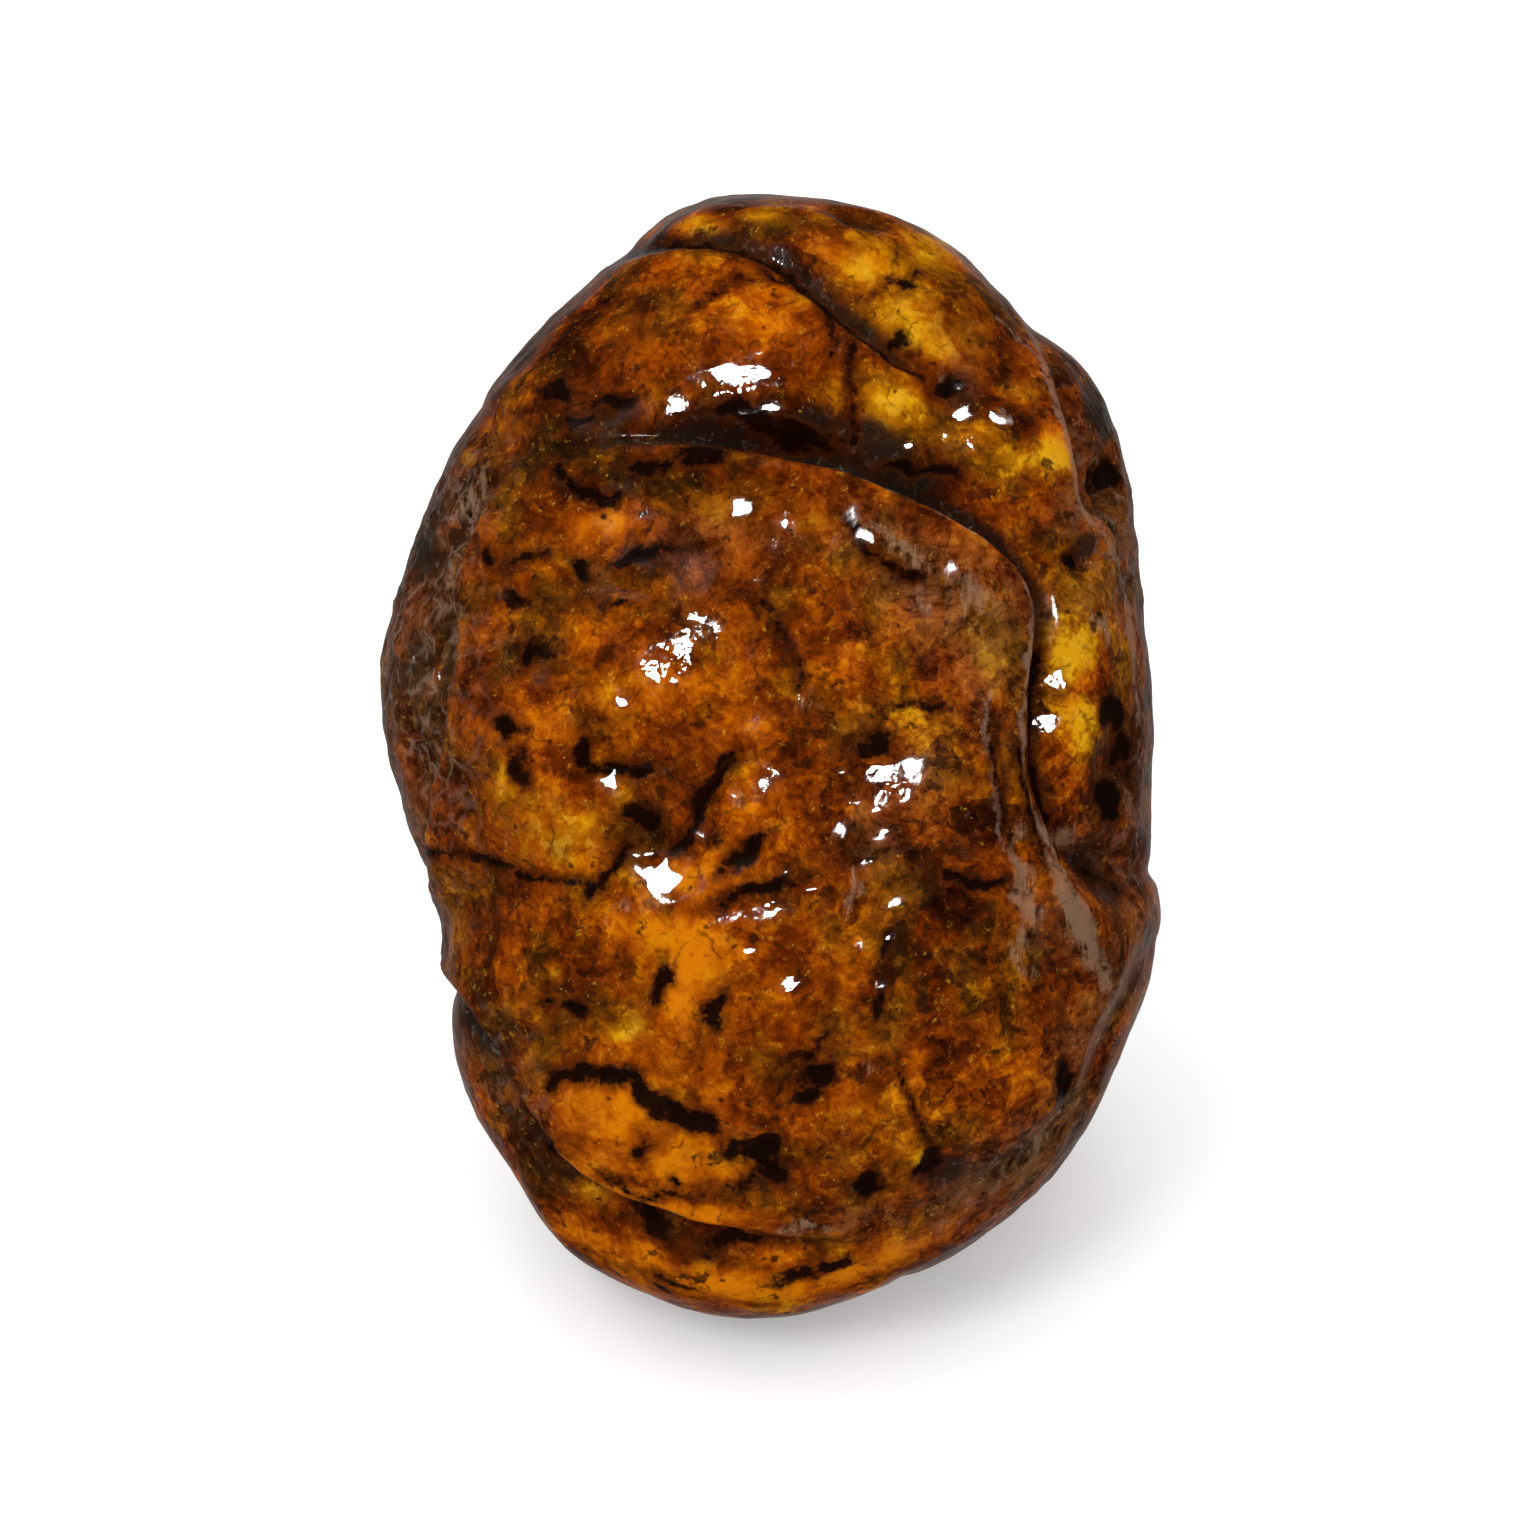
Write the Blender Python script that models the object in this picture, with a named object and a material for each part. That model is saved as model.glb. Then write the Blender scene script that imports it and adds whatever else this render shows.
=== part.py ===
"""A raw nugget of amber, one solid lump that stands on its small flat foot.

Blender works in metres; the numbers below are millimetres on the lump's own face. The face is its broad
side, which looks forward (-Y) and leans back. On it u runs to the right, v runs up it and w comes
straight out of it.
"""

import math

import bmesh
import bpy
import numpy as np
from mathutils import Vector, noise

MM = 0.001
NAME = "amber_nugget"

# ---- Driving dimensions, in millimetres and degrees ----------------------------------------------
LEAN = 35.0          # how far the face leans back from upright
FRONT_DEPTH = 19.0   # the face's crown above the plane of its outline
CROWN_DEPTH = 17.0   # the back's depth behind the upper half
HEEL_DEPTH = 28.0    # and behind the foot, which carries the weight
SQUARENESS = 2.35    # 2 would be an ellipsoid; more fills out the shoulders
FLOOR_DROP = 31.3    # from the middle of the face's outline down to the floor
FOOT_ROUNDING = 1.2  # radius at which the flat foot runs out into the sides
FIRST_TRIANGLES = 7  # subdivisions of the icosphere that the lump is shaped from
TRIANGLES = 9400     # what is left of them at the end

# The face's outline: (degrees from u, turning towards v; radius).
OUTLINE = [
    (0, 25.3), (20, 26.3), (38, 30.0), (50, 32.6), (60, 32.9), (70, 34.6), (80, 35.7), (98, 36.0),
    (112, 32.3), (130, 29.8), (150, 27.4), (180, 25.2), (198, 24.5), (208, 23.7), (220, 28.3),
    (230, 31.4), (248, 34.7), (266, 36.6), (285, 35.2), (310, 31.9), (330, 29.0), (348, 26.0),
]

# A fold parts two lobes. Its high side is on the left of its route; the low side starts "step" lower and
# rises again over "fall". A groove "groove" deep and "width" wide is cut between them and a lip stands on
# the high side. Each point of a route is (u, v, strength).
FACE_FOLDS = {
    "under the crown": dict(step=0.6, groove=0.5, width=1.2, fall=5.0, lip=0.15, route=[
        (11.0, 23.2, 0), (9.5, 24.0, 0.8), (7.9, 24.4, 1), (6.3, 25.8, 1), (4.8, 26.9, 1), (3.5, 28.0, 1),
        (2.2, 29.3, 1), (1.0, 30.3, 1), (-0.9, 31.2, 1), (-2.8, 31.9, 1), (-5.0, 32.1, 0.9),
        (-7.6, 32.1, 0.7), (-10.5, 31.7, 0.4)]),
    "round the bulge": dict(step=1.9, groove=0.6, width=1.2, fall=7.0, lip=0.2, route=[
        (26.0, -8.0, 0.2), (23.0, -7.6, 0.35), (20.6, -6.9, 0.5), (18.8, -5.7, 0.6), (17.4, -3.7, 0.65),
        (16.5, -1.2, 0.7), (16.3, 1.2, 0.7), (16.3, 4.0, 0.7), (16.7, 6.8, 0.75), (16.8, 9.6, 0.85),
        (15.9, 11.6, 0.95), (14.3, 13.2, 1), (12.1, 14.6, 1.05), (9.6, 15.9, 1.1), (6.8, 17.1, 1.1),
        (4.0, 18.1, 1), (1.2, 18.7, 1), (-1.5, 19.3, 0.9), (-4.3, 19.7, 0.7), (-7.1, 19.7, 0.55),
        (-10.3, 19.4, 0.4), (-13.1, 19.0, 0.35), (-15.7, 18.8, 0.3), (-18.3, 19.3, 0.2),
        (-20.3, 20.3, 0)]),
    "over the foot": dict(step=2.6, groove=0.5, width=1.5, fall=7.0, lip=0.2, route=[
        (-21.8, -13.2, 0.25), (-19.8, -15.2, 0.6), (-18.1, -17.6, 0.9), (-16.7, -20.4, 1.1),
        (-14.9, -23.0, 1.15), (-13.1, -25.3, 1.1), (-10.7, -27.3, 1), (-7.5, -28.7, 0.85),
        (-4.1, -29.7, 0.65), (-0.6, -30.2, 0.45), (2.5, -30.6, 0.3), (5.7, -30.7, 0.15),
        (8.5, -30.5, 0)]),
    "left shoulder": dict(step=1.5, groove=0.1, width=1.3, fall=6.0, lip=0.2, route=[
        (-15.3, 19.1, 0.2), (-17.1, 17.2, 0.8), (-18.8, 14.4, 1), (-19.9, 11.9, 1), (-20.2, 9.7, 1),
        (-20.0, 7.2, 0.9), (-20.4, 3.8, 0.9), (-20.7, 0.6, 1), (-21.6, -2.8, 1), (-22.0, -6.0, 1),
        (-21.9, -8.7, 0.9), (-21.3, -11.0, 0.6)]),
    "right shoulder": dict(step=1.1, groove=0.2, width=1.0, fall=3.5, lip=0.15, route=[
        (23.9, 11.6, 0.2), (22.0, 14.9, 0.7), (20.5, 15.9, 1), (19.7, 18.5, 1), (18.9, 21.4, 0.8),
        (17.9, 24.6, 0.5), (16.6, 27.4, 0.25), (14.6, 30.0, 0.1), (12.2, 32.2, 0)]),
    "lower right shoulder": dict(step=0.9, groove=0.1, width=2.6, fall=5.0, lip=0.1, route=[
        (5.7, -30.4, 0), (8.5, -28.4, 0.7), (11.9, -27.1, 1), (15.1, -24.9, 1), (17.6, -22.9, 1),
        (19.5, -20.5, 1), (21.1, -17.3, 1), (22.8, -13.9, 0.8), (24.1, -11.2, 0.3)]),
    "inner split": dict(step=0.15, groove=0.4, width=0.5, fall=2.0, lip=0.1, route=[
        (15.5, -7.8, 0.3), (14.7, -5.3, 1), (14.4, -2.8, 1), (14.2, -0.3, 0.8), (14.2, 1.5, 0)]),
    "left crack": dict(step=0.2, groove=0.2, width=0.6, fall=3.0, lip=0.0, route=[
        (-10.5, -8.3, 0.3), (-12.1, -7.7, 1), (-14.3, -7.5, 1), (-16.8, -6.7, 0.9), (-19.1, -6.1, 0.8),
        (-21.8, -5.8, 0.5)]),
    "brow crack": dict(step=0.3, groove=0.2, width=0.7, fall=3.0, lip=0.05, route=[
        (-7.1, -0.8, 0.8), (-9.3, -1.2, 1), (-11.0, -0.8, 1), (-11.7, 0.6, 0.8), (-11.9, 3.4, 0.4)]),
    "wedge crack": dict(step=0.45, groove=0.35, width=0.8, fall=3.0, lip=0.1, route=[
        (-6.3, -6.5, 0.8), (-4.9, -3.7, 1), (-3.6, -1.5, 1), (-2.2, -0.1, 1), (-0.3, 0.0, 0.7),
        (1.8, -1.2, 0.2)]),
    "lower right crack": dict(step=0.15, groove=0.2, width=0.5, fall=3.0, lip=0.05, route=[
        (10.0, -25.6, 0.6), (8.4, -21.4, 1), (7.1, -17.0, 1), (6.9, -13.9, 0.8), (8.0, -8.9, 0.3)]),
    "chin seam": dict(step=-0.25, groove=0.15, width=1.0, fall=3.0, lip=0.0, route=[
        (-13.4, -19.8, 0.8), (-10.6, -19.4, 1), (-7.7, -19.6, 1), (-5.6, -21.4, 1), (-4.2, -22.8, 0.5)]),
}

# Lumps and hollows of the face: (u, v, half width, half height, tilt, height). A hollow's height is
# below zero.
FACE_LUMPS = [
    (-0.3, 26.1, 5.9, 4.3, -8, 0.35), (7.6, 22.2, 3.1, 2.2, -35, 0.8), (4.2, 22.5, 1.2, 3.0, 10, 0.6),
    (2.8, 33.3, 7.1, 2.2, -5, 1.1), (11.0, 27.6, 4.8, 3.9, -35, 0.9), (-10.0, 26.7, 3.9, 3.2, 30, 0.6),
    (-13.2, 22.6, 2.9, 2.1, 20, 0.5), (19.9, 8.1, 2.4, 3.8, 0, 1.5), (19.4, 1.2, 2.2, 3.4, 0, 1.3),
    (16.9, 17.8, 1.5, 2.3, 0, 0.6), (-7.1, 4.6, 4.0, 3.7, 0, 1.1), (-14.3, -4.7, 4.8, 3.5, 0, 0.6),
    (-0.3, -2.8, 2.7, 3.4, -20, 0.8), (-8.0, -12.7, 4.5, 3.4, 10, 0.6),
    (-10.0, -23.2, 3.6, 3.0, -10, 0.9), (-4.4, -26.2, 3.9, 2.6, -20, 0.5),
    (8.3, 12.0, 5.5, 3.0, -30, 0.7), (9.9, -4.0, 4.0, 4.0, 0, 0.5), (5.6, -12.6, 4.0, 4.9, 0, 0.5),
    (14.3, -18.4, 4.6, 4.6, 0, 0.6), (-16.8, 3.4, 3.0, 5.8, 0, 0.5), (-1.8, 12.0, 4.5, 3.2, 0, 0.5),
    (4.0, -22.0, 3.9, 3.2, 0, 0.4), (-4.9, -15.8, 2.6, 5.2, -15, 0.5), (19.7, -11.3, 2.2, 3.9, 20, 0.8),
    (-13.5, -32.7, 3.9, 1.7, -42, 0.8), (-4.4, -33.5, 5.2, 1.4, -8, 0.6),
    (-7.1, -5.7, 1.9, 1.4, 10, -1.1), (-11.0, -8.5, 2.8, 1.4, 35, -0.7), (-4.3, -2.8, 1.7, 1.2, 50, -0.5),
    (21.5, -7.1, 3.0, 1.8, -25, -2.0), (6.7, -1.0, 2.3, 1.0, 25, -0.8), (-4.3, 20.3, 3.0, 0.9, -5, -0.9),
    (0.0, 19.7, 3.9, 1.0, -8, -1.0), (-6.8, -14.2, 0.9, 2.6, -12, -0.5),
    (-12.1, -15.8, 2.2, 0.9, -20, -0.4), (-8.0, 9.6, 3.0, 1.3, -15, -0.5),
    (-4.9, 14.5, 2.6, 1.3, 0, -0.4), (21.6, -1.0, 1.5, 2.6, 0, -0.7),
]

# Blisters and pits: the same six numbers, with a steeper rim.
FACE_PITS = [
    (13.4, 19.6, 1.9, 2.2, 0, 1.1), (22.2, 17.6, 0.8, 1.8, 8, -1.5), (20.0, 12.2, 1.0, 1.1, 0, -1.2),
    (-1.4, -5.9, 2.5, 0.8, 38, -0.35), (-0.7, -8.9, 3.1, 1.0, 12, -0.4), (3.0, -19.4, 2.6, 1.7, 25, -0.4),
    (-0.8, -25.0, 2.3, 1.5, -30, -0.4), (5.7, 33.5, 1.9, 0.6, -15, -0.6), (10.9, 22.9, 1.4, 1.1, 0, -0.5),
    (-16.0, 9.8, 0.9, 0.8, 0, -0.3), (-16.0, 1.6, 0.7, 1.0, 0, -0.3), (18.5, -20.1, 0.9, 1.3, 0, -0.4),
    (10.6, -26.1, 1.7, 0.9, 25, -0.5), (-14.8, -25.2, 1.7, 1.0, -30, -0.9),
    (-22.4, 12.0, 0.8, 1.6, -12, -0.8), (-22.8, 6.2, 0.8, 1.4, 0, -0.7), (-23.0, -0.4, 0.8, 1.8, 8, -0.8),
]

# The back has folds, lumps and pits of its own, placed by the same u and v as they lie behind the face.
BACK_FOLDS = {
    "across the back": dict(step=1.5, groove=0.8, width=2.0, fall=6.0, lip=0.4, route=[
        (21.0, 10.0, 0), (16.5, 6.0, 0.6), (12.0, 6.5, 1), (6.5, 9.5, 1), (1.5, 11.0, 0.7),
        (-4.0, 9.5, 0.8), (-8.0, 11.5, 1), (-13.0, 17.0, 0.8), (-16.0, 22.0, 0.2)]),
    "heel fold": dict(step=1.7, groove=0.6, width=2.2, fall=6.5, lip=0.45, route=[
        (-20.0, -4.0, 0), (-16.0, -9.5, 0.6), (-11.0, -11.0, 1), (-5.5, -8.5, 0.9), (0.5, -9.5, 0.6),
        (5.0, -13.5, 1), (9.0, -19.0, 1), (11.0, -25.0, 0.4)]),
    "crown seam": dict(step=0.7, groove=0.9, width=0.9, fall=4.0, lip=0.2, route=[
        (9.0, 33.0, 0.5), (8.0, 27.0, 0.9), (9.5, 21.5, 1), (7.0, 16.0, 0.8), (7.5, 12.0, 0.3)]),
    "heel seam": dict(step=0.4, groove=0.7, width=0.8, fall=3.5, lip=0.15, route=[
        (-6.0, -30.0, 0.3), (-7.5, -24.0, 1), (-4.5, -19.0, 1), (-5.5, -13.0, 0.8), (-4.5, -9.0, 0.2)]),
}
BACK_LUMPS = [
    (-9.0, 22.0, 6.0, 5.0, 20, 1.3), (14.0, 20.0, 4.5, 5.5, 0, 1.2), (2.0, 2.0, 7.0, 5.0, -10, 1.3),
    (-14.0, 1.0, 5.0, 6.0, 0, 1.1), (15.0, -3.0, 5.0, 4.5, 0, 1.0), (8.0, -22.0, 6.0, 5.0, 15, 1.2),
    (-13.0, -22.0, 5.0, 4.5, 0, 1.0), (2.0, 26.0, 4.0, 4.0, 0, 0.6), (-3.0, 16.0, 5.0, 2.5, 10, -1.1),
    (16.0, 10.0, 3.0, 3.5, 0, -1.2), (-17.0, 8.0, 2.5, 3.5, 0, -1.0), (5.0, -3.5, 4.0, 2.0, 20, -0.8),
    (-9.0, -3.5, 2.8, 2.2, 0, -0.8), (1.0, -15.5, 3.0, 2.2, -20, -0.9), (16.0, -18.0, 2.5, 3.0, 0, -0.9),
]
BACK_PITS = [
    (-12.0, 25.0, 1.3, 1.0, 0, -0.9), (-5.0, 4.0, 1.6, 0.9, 30, -0.9), (9.0, 0.5, 1.0, 1.5, 0, -0.8),
    (18.0, 15.0, 0.9, 1.7, 10, -0.9), (4.0, 21.0, 1.5, 0.8, -25, -0.8), (-18.0, -3.5, 1.0, 1.8, 0, -0.9),
    (10.0, -17.0, 1.7, 0.9, 35, -0.9), (-12.5, -16.5, 1.2, 1.2, 0, -0.8), (3.5, 31.0, 1.8, 0.9, 0, -0.9),
    (-1.0, -24.0, 1.1, 1.4, 0, -0.8),
]
PIT_RIM = 1.6             # power of the fall-off at a pit's rim, where a lump has 1
FOLD_REACH = 20.0         # a fold is not felt further away than this
STRENGTH_BLEND = 0.5      # closer to a fold than this, its strength is only its own
SWELLS = [(17.0, 0.5, 1.8), (8.0, 0.22, 0.8), (4.5, 0.08, 0.3)]  # wavelength, height on face, on back


# ---- Curves --------------------------------------------------------------------------------------
def smooth(low, high, value):
    """0 below low, 1 above high and a soft step between them."""
    t = np.clip((value - low) / (high - low), 0.0, 1.0)
    return t * t * (3.0 - 2.0 * t)


def cubic(before, start, end, after, t):
    """A Catmull-Rom curve from start to end."""
    bend = 2.0 * before - 5.0 * start + 4.0 * end - after
    twist = 3.0 * (start - end) + after - before
    return 0.5 * (2.0 * start + (end - before) * t + bend * t**2 + twist * t**3)


def outline_radius(angle):
    """The outline's radius at each angle, in radians."""
    turns, radii = np.array(OUTLINE).T
    count = len(turns)
    degrees = np.degrees(angle) % 360.0
    start = np.searchsorted(turns, degrees, side="right") - 1
    end = (start + 1) % count
    t = (degrees - turns[start]) / ((turns[end] - turns[start]) % 360.0)
    return cubic(radii[start - 1], radii[start], radii[end], radii[(start + 2) % count], t)


def fine_route(route, pieces=5):
    """The route with its corners rounded: points (u, v, strength)."""
    points = np.array(route, dtype=float)
    first = 2.0 * points[0] - points[1]
    last = 2.0 * points[-1] - points[-2]
    points = np.vstack([first, points, last])
    fine = [
        cubic(*points[i - 1 : i + 3], k / pieces)
        for i in range(1, len(points) - 2)
        for k in range(pieces)
    ]
    fine.append(points[-2])
    return fine


# ---- Relief --------------------------------------------------------------------------------------
def beside_route(route, u, v):
    """For each place: its distance from the route, above zero on the left, and the strength there.

    The strength is a mean of the whole route's, in which near pieces count for most. It dies away past an
    end.
    """
    nearest = np.full(u.shape, np.inf)
    side = np.ones(u.shape)
    past_end = np.zeros(u.shape)
    weights = np.zeros(u.shape)
    strengths = np.zeros(u.shape)
    points = fine_route(route)
    for i, ((u0, v0, from_strength), (u1, v1, to_strength)) in enumerate(zip(points, points[1:])):
        du, dv = u1 - u0, v1 - v0
        length = math.hypot(du, dv)
        along = ((u - u0) * du + (v - v0) * dv) / length**2
        t = np.clip(along, 0.0, 1.0)
        off_u, off_v = u - u0 - t * du, v - v0 - t * dv
        distance = np.hypot(off_u, off_v)
        closer = distance < nearest
        nearest = np.where(closer, distance, nearest)
        side = np.where(closer, np.where(du * off_v - dv * off_u >= 0.0, 1.0, -1.0), side)
        first, last = i == 0, i == len(points) - 2
        past = np.maximum(-along * first, (along - 1.0) * last) * length
        past_end = np.where(closer, past, past_end)
        weight = length / (distance + STRENGTH_BLEND) ** 4
        weights += weight
        strengths += weight * (from_strength + t * (to_strength - from_strength))
    return nearest * side, np.clip(strengths / weights * np.exp(-past_end), 0.0, None)


def fold_height(u, v, step, groove, width, fall, lip, route):
    """The rise and fall of the surface across one fold."""
    height = np.zeros(u.shape)
    points = np.array(route)
    near = (u > points[:, 0].min() - FOLD_REACH) & (u < points[:, 0].max() + FOLD_REACH)
    near &= (v > points[:, 1].min() - FOLD_REACH) & (v < points[:, 1].max() + FOLD_REACH)
    distance, strength = beside_route(route, u[near], v[near])
    raised = smooth(-0.5 * width, 0.5 * width, distance)
    low_side = -step * (1.0 - raised) * np.exp(-np.maximum(-distance - 0.5 * width, 0.0) / fall)
    cut = -groove * np.exp(-(((distance + 0.45 * width) / (0.55 * width)) ** 2))
    rim = lip * np.exp(-(((distance - 1.5 * width) / (1.1 * width)) ** 2))
    height[near] = strength * (low_side + cut + rim)
    return height


def lump_height(u, v, lump, power):
    """One lump or hollow: a tilted oval that fades out at its rim."""
    middle_u, middle_v, half_width, half_height, tilt, height = lump
    turn = math.radians(tilt)
    du, dv = u - middle_u, v - middle_v
    across = (du * math.cos(turn) + dv * math.sin(turn)) / half_width
    along = (dv * math.cos(turn) - du * math.sin(turn)) / half_height
    return height * np.exp(-0.9 * (across**2 + along**2) ** power)


def relief(u, v, folds, lumps, pits):
    """The height of all the folds, lumps and pits of one side."""
    height = np.zeros(u.shape)
    for fold in folds.values():
        height += fold_height(u, v, **fold)
    for lump in lumps:
        height += lump_height(u, v, lump, 1.0)
    for pit in pits:
        height += lump_height(u, v, pit, PIT_RIM)
    return height


def swell_height(points, face_share):
    """Gentle waves all over, stronger on the back."""
    height = np.zeros(len(points))
    for order, (wavelength, on_face, on_back) in enumerate(SWELLS):
        places = points / wavelength + 17.0 * order
        waves = np.array([noise.noise(Vector(place)) for place in places])
        height += waves * (on_back + (on_face - on_back) * face_share)
    return height


# ---- The lump ------------------------------------------------------------------------------------
def plain_form(directions):
    """The lump before its relief: the outline, domed in front and behind. Gives points (u, v, w)."""
    right, up, out = directions.T
    exponent = 2.0 / SQUARENESS
    angle = np.arctan2(up, right)
    reach = outline_radius(angle) * np.hypot(right, up) ** exponent
    u, v = reach * np.cos(angle), reach * np.sin(angle)
    back_depth = CROWN_DEPTH + (HEEL_DEPTH - CROWN_DEPTH) * smooth(18.0, -22.0, v)
    depth = np.where(out > 0.0, FRONT_DEPTH, back_depth)
    return np.stack([u, v, depth * np.sign(out) * np.abs(out) ** exponent], axis=1)


def relieved_form(directions, normals_of):
    """The plain form pushed in and out along its normals."""
    points = plain_form(directions)
    u, v = points[:, 0], points[:, 1]
    face_share = smooth(-0.35, 0.05, directions[:, 2])
    height = face_share * relief(u, v, FACE_FOLDS, FACE_LUMPS, FACE_PITS)
    height += (1.0 - face_share) * relief(u, v, BACK_FOLDS, BACK_LUMPS, BACK_PITS)
    height += swell_height(points, face_share)
    return points + normals_of(points) * height[:, None]


def stood_up(points):
    """Leans the face back, presses the foot flat on z = 0 and centres the lump over the origin."""
    lean = math.radians(LEAN)
    u, v, w = points.T
    x = u
    y = v * math.sin(lean) - w * math.cos(lean)
    z = v * math.cos(lean) + w * math.sin(lean) + FLOOR_DROP
    rounded = (z + FOOT_ROUNDING) ** 2 / (4.0 * FOOT_ROUNDING)
    z = np.where(z > FOOT_ROUNDING, z, np.where(z < -FOOT_ROUNDING, 0.0, rounded))
    standing = np.stack([x, y, z], axis=1)
    middle = 0.5 * (standing.min(axis=0) + standing.max(axis=0))
    return standing - [middle[0], middle[1], 0.0]


# ---- Meshes and objects --------------------------------------------------------------------------
def vertices_of(mesh):
    flat = np.empty(len(mesh.vertices) * 3, np.float32)
    mesh.vertices.foreach_get("co", flat)
    return flat.reshape(-1, 3).astype(float)


def put_vertices(mesh, points):
    mesh.vertices.foreach_set("co", points.astype(np.float32).ravel())
    mesh.update()


def shaped_mesh():
    """An icosphere turned into the lump, with more triangles than it needs."""
    ball = bmesh.new()
    bmesh.ops.create_icosphere(ball, subdivisions=FIRST_TRIANGLES, radius=1.0)
    mesh = bpy.data.meshes.new(NAME)
    ball.to_mesh(mesh)
    ball.free()

    def normals_of(points):
        put_vertices(mesh, points)
        flat = np.empty(len(points) * 3, np.float32)
        mesh.vertex_normals.foreach_get("vector", flat)
        return flat.reshape(-1, 3).astype(float)

    directions = vertices_of(mesh)
    directions /= np.linalg.norm(directions, axis=1)[:, None]
    put_vertices(mesh, stood_up(relieved_form(directions, normals_of)) * MM)
    return mesh


def lighten(lump):
    """Collapses the flatter triangles, then presses the foot flat again."""
    collapse = lump.modifiers.new("collapse", "DECIMATE")
    collapse.ratio = TRIANGLES / len(lump.data.polygons)
    evaluated = lump.evaluated_get(bpy.context.evaluated_depsgraph_get())
    light = bpy.data.meshes.new_from_object(evaluated)
    lump.modifiers.remove(collapse)
    heavy = lump.data
    lump.data = light
    bpy.data.meshes.remove(heavy)
    light.name = NAME
    points = vertices_of(light)
    points[points[:, 2] < 0.1 * MM, 2] = 0.0
    put_vertices(light, points)


def amber():
    """Brown amber with a wet gloss."""
    material = bpy.data.materials.new("raw_amber")
    material.use_nodes = True
    surface = material.node_tree.nodes["Principled BSDF"]
    surface.inputs["Base Color"].default_value = (0.31, 0.10, 0.012, 1.0)
    surface.inputs["Roughness"].default_value = 0.12
    surface.inputs["Metallic"].default_value = 0.0
    surface.inputs["IOR"].default_value = 1.54
    return material


def main():
    for thing in list(bpy.data.objects):
        bpy.data.objects.remove(thing)
    collection = bpy.data.collections.new("raw_amber_piece")
    bpy.context.scene.collection.children.link(collection)
    lump = bpy.data.objects.new(NAME, shaped_mesh())
    collection.objects.link(lump)
    bpy.context.view_layer.update()
    lighten(lump)
    lump.data.materials.append(amber())
    lump.data.shade_smooth()


main()
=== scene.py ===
"""The looks of the raw amber nugget: its skin in fine mesh, its see-through brown amber, the floor and the light.

The shape section repeats the form of the solid, in millimetres on the lump's face: u runs to the right, v up the
face and w out of it. After it come the fine relief, the colour fields, the material and the studio.
"""

import math

import bmesh
import bpy
import numpy as np
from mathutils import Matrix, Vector, noise


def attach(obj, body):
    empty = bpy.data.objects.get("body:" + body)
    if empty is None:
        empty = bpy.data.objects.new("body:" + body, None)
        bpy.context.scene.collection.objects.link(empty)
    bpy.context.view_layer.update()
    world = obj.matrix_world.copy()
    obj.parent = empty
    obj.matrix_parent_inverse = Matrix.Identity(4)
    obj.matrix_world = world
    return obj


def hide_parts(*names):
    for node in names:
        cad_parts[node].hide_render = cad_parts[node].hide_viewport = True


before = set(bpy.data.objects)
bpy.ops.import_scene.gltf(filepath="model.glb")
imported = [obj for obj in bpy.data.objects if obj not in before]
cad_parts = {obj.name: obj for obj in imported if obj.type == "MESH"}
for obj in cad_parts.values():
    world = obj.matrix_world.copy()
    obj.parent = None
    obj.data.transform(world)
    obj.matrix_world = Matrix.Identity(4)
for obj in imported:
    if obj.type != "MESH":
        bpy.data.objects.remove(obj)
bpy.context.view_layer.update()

MM = 0.001
NODE = "amber_nugget"

# ---- Driving dimensions, in millimetres and degrees ----------------------------------------------
LEAN = 35.0          # how far the face leans back from upright
FRONT_DEPTH = 19.0   # the face's crown above the plane of its outline
CROWN_DEPTH = 17.0   # the back's depth behind the upper half
HEEL_DEPTH = 28.0    # and behind the foot, which carries the weight
SQUARENESS = 2.35    # 2 would be an ellipsoid; more fills out the shoulders
FLOOR_DROP = 31.3    # from the middle of the face's outline down to the floor
FOOT_ROUNDING = 1.2  # radius at which the flat foot runs out into the sides
FIRST_TRIANGLES = 7  # subdivisions of the icosphere that the lump is shaped from
TRIANGLES = 9400     # what is left of them at the end

# The face's outline: (degrees from u, turning towards v; radius).
OUTLINE = [
    (0, 25.3), (20, 26.3), (38, 30.0), (50, 32.6), (60, 32.9), (70, 34.6), (80, 35.7), (98, 36.0),
    (112, 32.3), (130, 29.8), (150, 27.4), (180, 25.2), (198, 24.5), (208, 23.7), (220, 28.3),
    (230, 31.4), (248, 34.7), (266, 36.6), (285, 35.2), (310, 31.9), (330, 29.0), (348, 26.0),
]

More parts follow.
